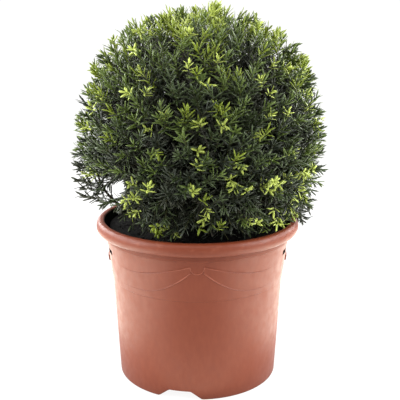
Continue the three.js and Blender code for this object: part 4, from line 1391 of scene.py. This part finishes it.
corners = [along_needle(0)]
for t, full in NEEDLE_RINGS:
    middle = along_needle(t)
    half = width * full / 2
    corners += [middle + broad * half, middle + upper * width * RIDGE, middle - broad * half]
corners.append(along_needle(1))
needle_points = np.stack(corners, 1)

# %% [markdown]
# ## Needle colours
# Old needles are dark green and this year's are fresh and yellowish. An attribute could hold the colour of
# every needle. Here each green is a plain base colour in a material of its own, which is easier to change,
# and only the roughness and a fine bump vary over the needles. Full-grown needles have the glossiest skin.

# %% Mix the greens
GREENS = {
    "inner": ((62, 65, 54), 0.2),
    "old": ((40, 47, 34), 0.34),
    "dark": ((57, 70, 38), 0.36),
    "middle": ((84, 101, 42), 0.36),
    "light": ((117, 132, 40), 0.28),
    "fresh": ((146, 159, 72), 0.25),
    "bright": ((172, 186, 88), 0.28),
}


def needle_green(name, rgb, gloss):
    material = new_material(f"needles_{name}", roughness=0.45, specular=gloss)
    skin_of(material)["Base Color"].default_value = shade(rgb)
    rough_by(material, noise_on(material, waves=45), low=0.3, high=0.48)
    bump_by(material, noise_on(material, waves=1200, detail=1), height=0.0001)
    return material


greens = [needle_green(name, rgb, gloss) for name, (rgb, gloss) in GREENS.items()]
print(len(greens), "greens")

# %% [markdown]
# The colours are dealt out by the spray: each shoot gets one of the greens, lighter towards the top of the
# crown, partly for the younger growth there and partly as painted light from above, darker inside, and
# brightest in the rosettes. On some outer shoots the needles round the tip are a shade lighter.

# %% Deal the greens out by the spray
TONE, LUCK_TONE = 0.72, 2.0
RISE_TONE, ROSETTE_RISE_TONE, LOWEST_RISE = 1.6, 0.4, -0.3
DARKER = np.array([0, 2.5, 3.5, -3.45, -2.05, 1.55])
GROWING, GROWING_FROM = 0.5, 0.5

rise = (shoot_tip[:, 2] - centre[2]) / CROWN_RADIUS
luck = rng.random((2, len(shoot_tip)))
# lighter with height: partly younger growth, partly painted light from above
by_rise = np.where(is_rosette, ROSETTE_RISE_TONE, RISE_TONE) * np.clip(rise, LOWEST_RISE, 1)
tone = TONE + by_rise + LUCK_TONE * luck[0] - DARKER[kind]
lift = np.where((luck[1] < GROWING) & (kind == OUTER), 1.0, 0.0)
tone = tone[owner] + lift[owner] * (share > GROWING_FROM)
green = np.clip(np.round(tone), 0, len(GREENS) - 1).astype(int)
for number, name in enumerate(GREENS):
    print(name, int((green == number).sum()), "needles")

# %% [markdown]
# All needles of one green are joined to one piece, or to a few where there are very many, because a few
# large meshes load and render much faster than thousands of small objects.

# %% Make the needles, each green apart
LARGEST_PIECE = 16000

for number, (name, material) in enumerate(zip(GREENS, greens)):
    mine = needle_points[green == number]
    for part, first in enumerate(range(0, len(mine), LARGEST_PIECE)):
        some = mine[first:first + LARGEST_PIECE]
        triangles = repeated(NEEDLE_PATTERN, len(some), needle_points.shape[1])
        plant_piece(f"needles_{name}_{part + 1}", some.reshape(-1, 3), triangles, material, "yew_needles")

# %% [markdown]
# ## Size
# The dressed plant has to keep to the CAD model's size, so the box round its shown pieces is measured.

# %% Measure the box
low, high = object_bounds()
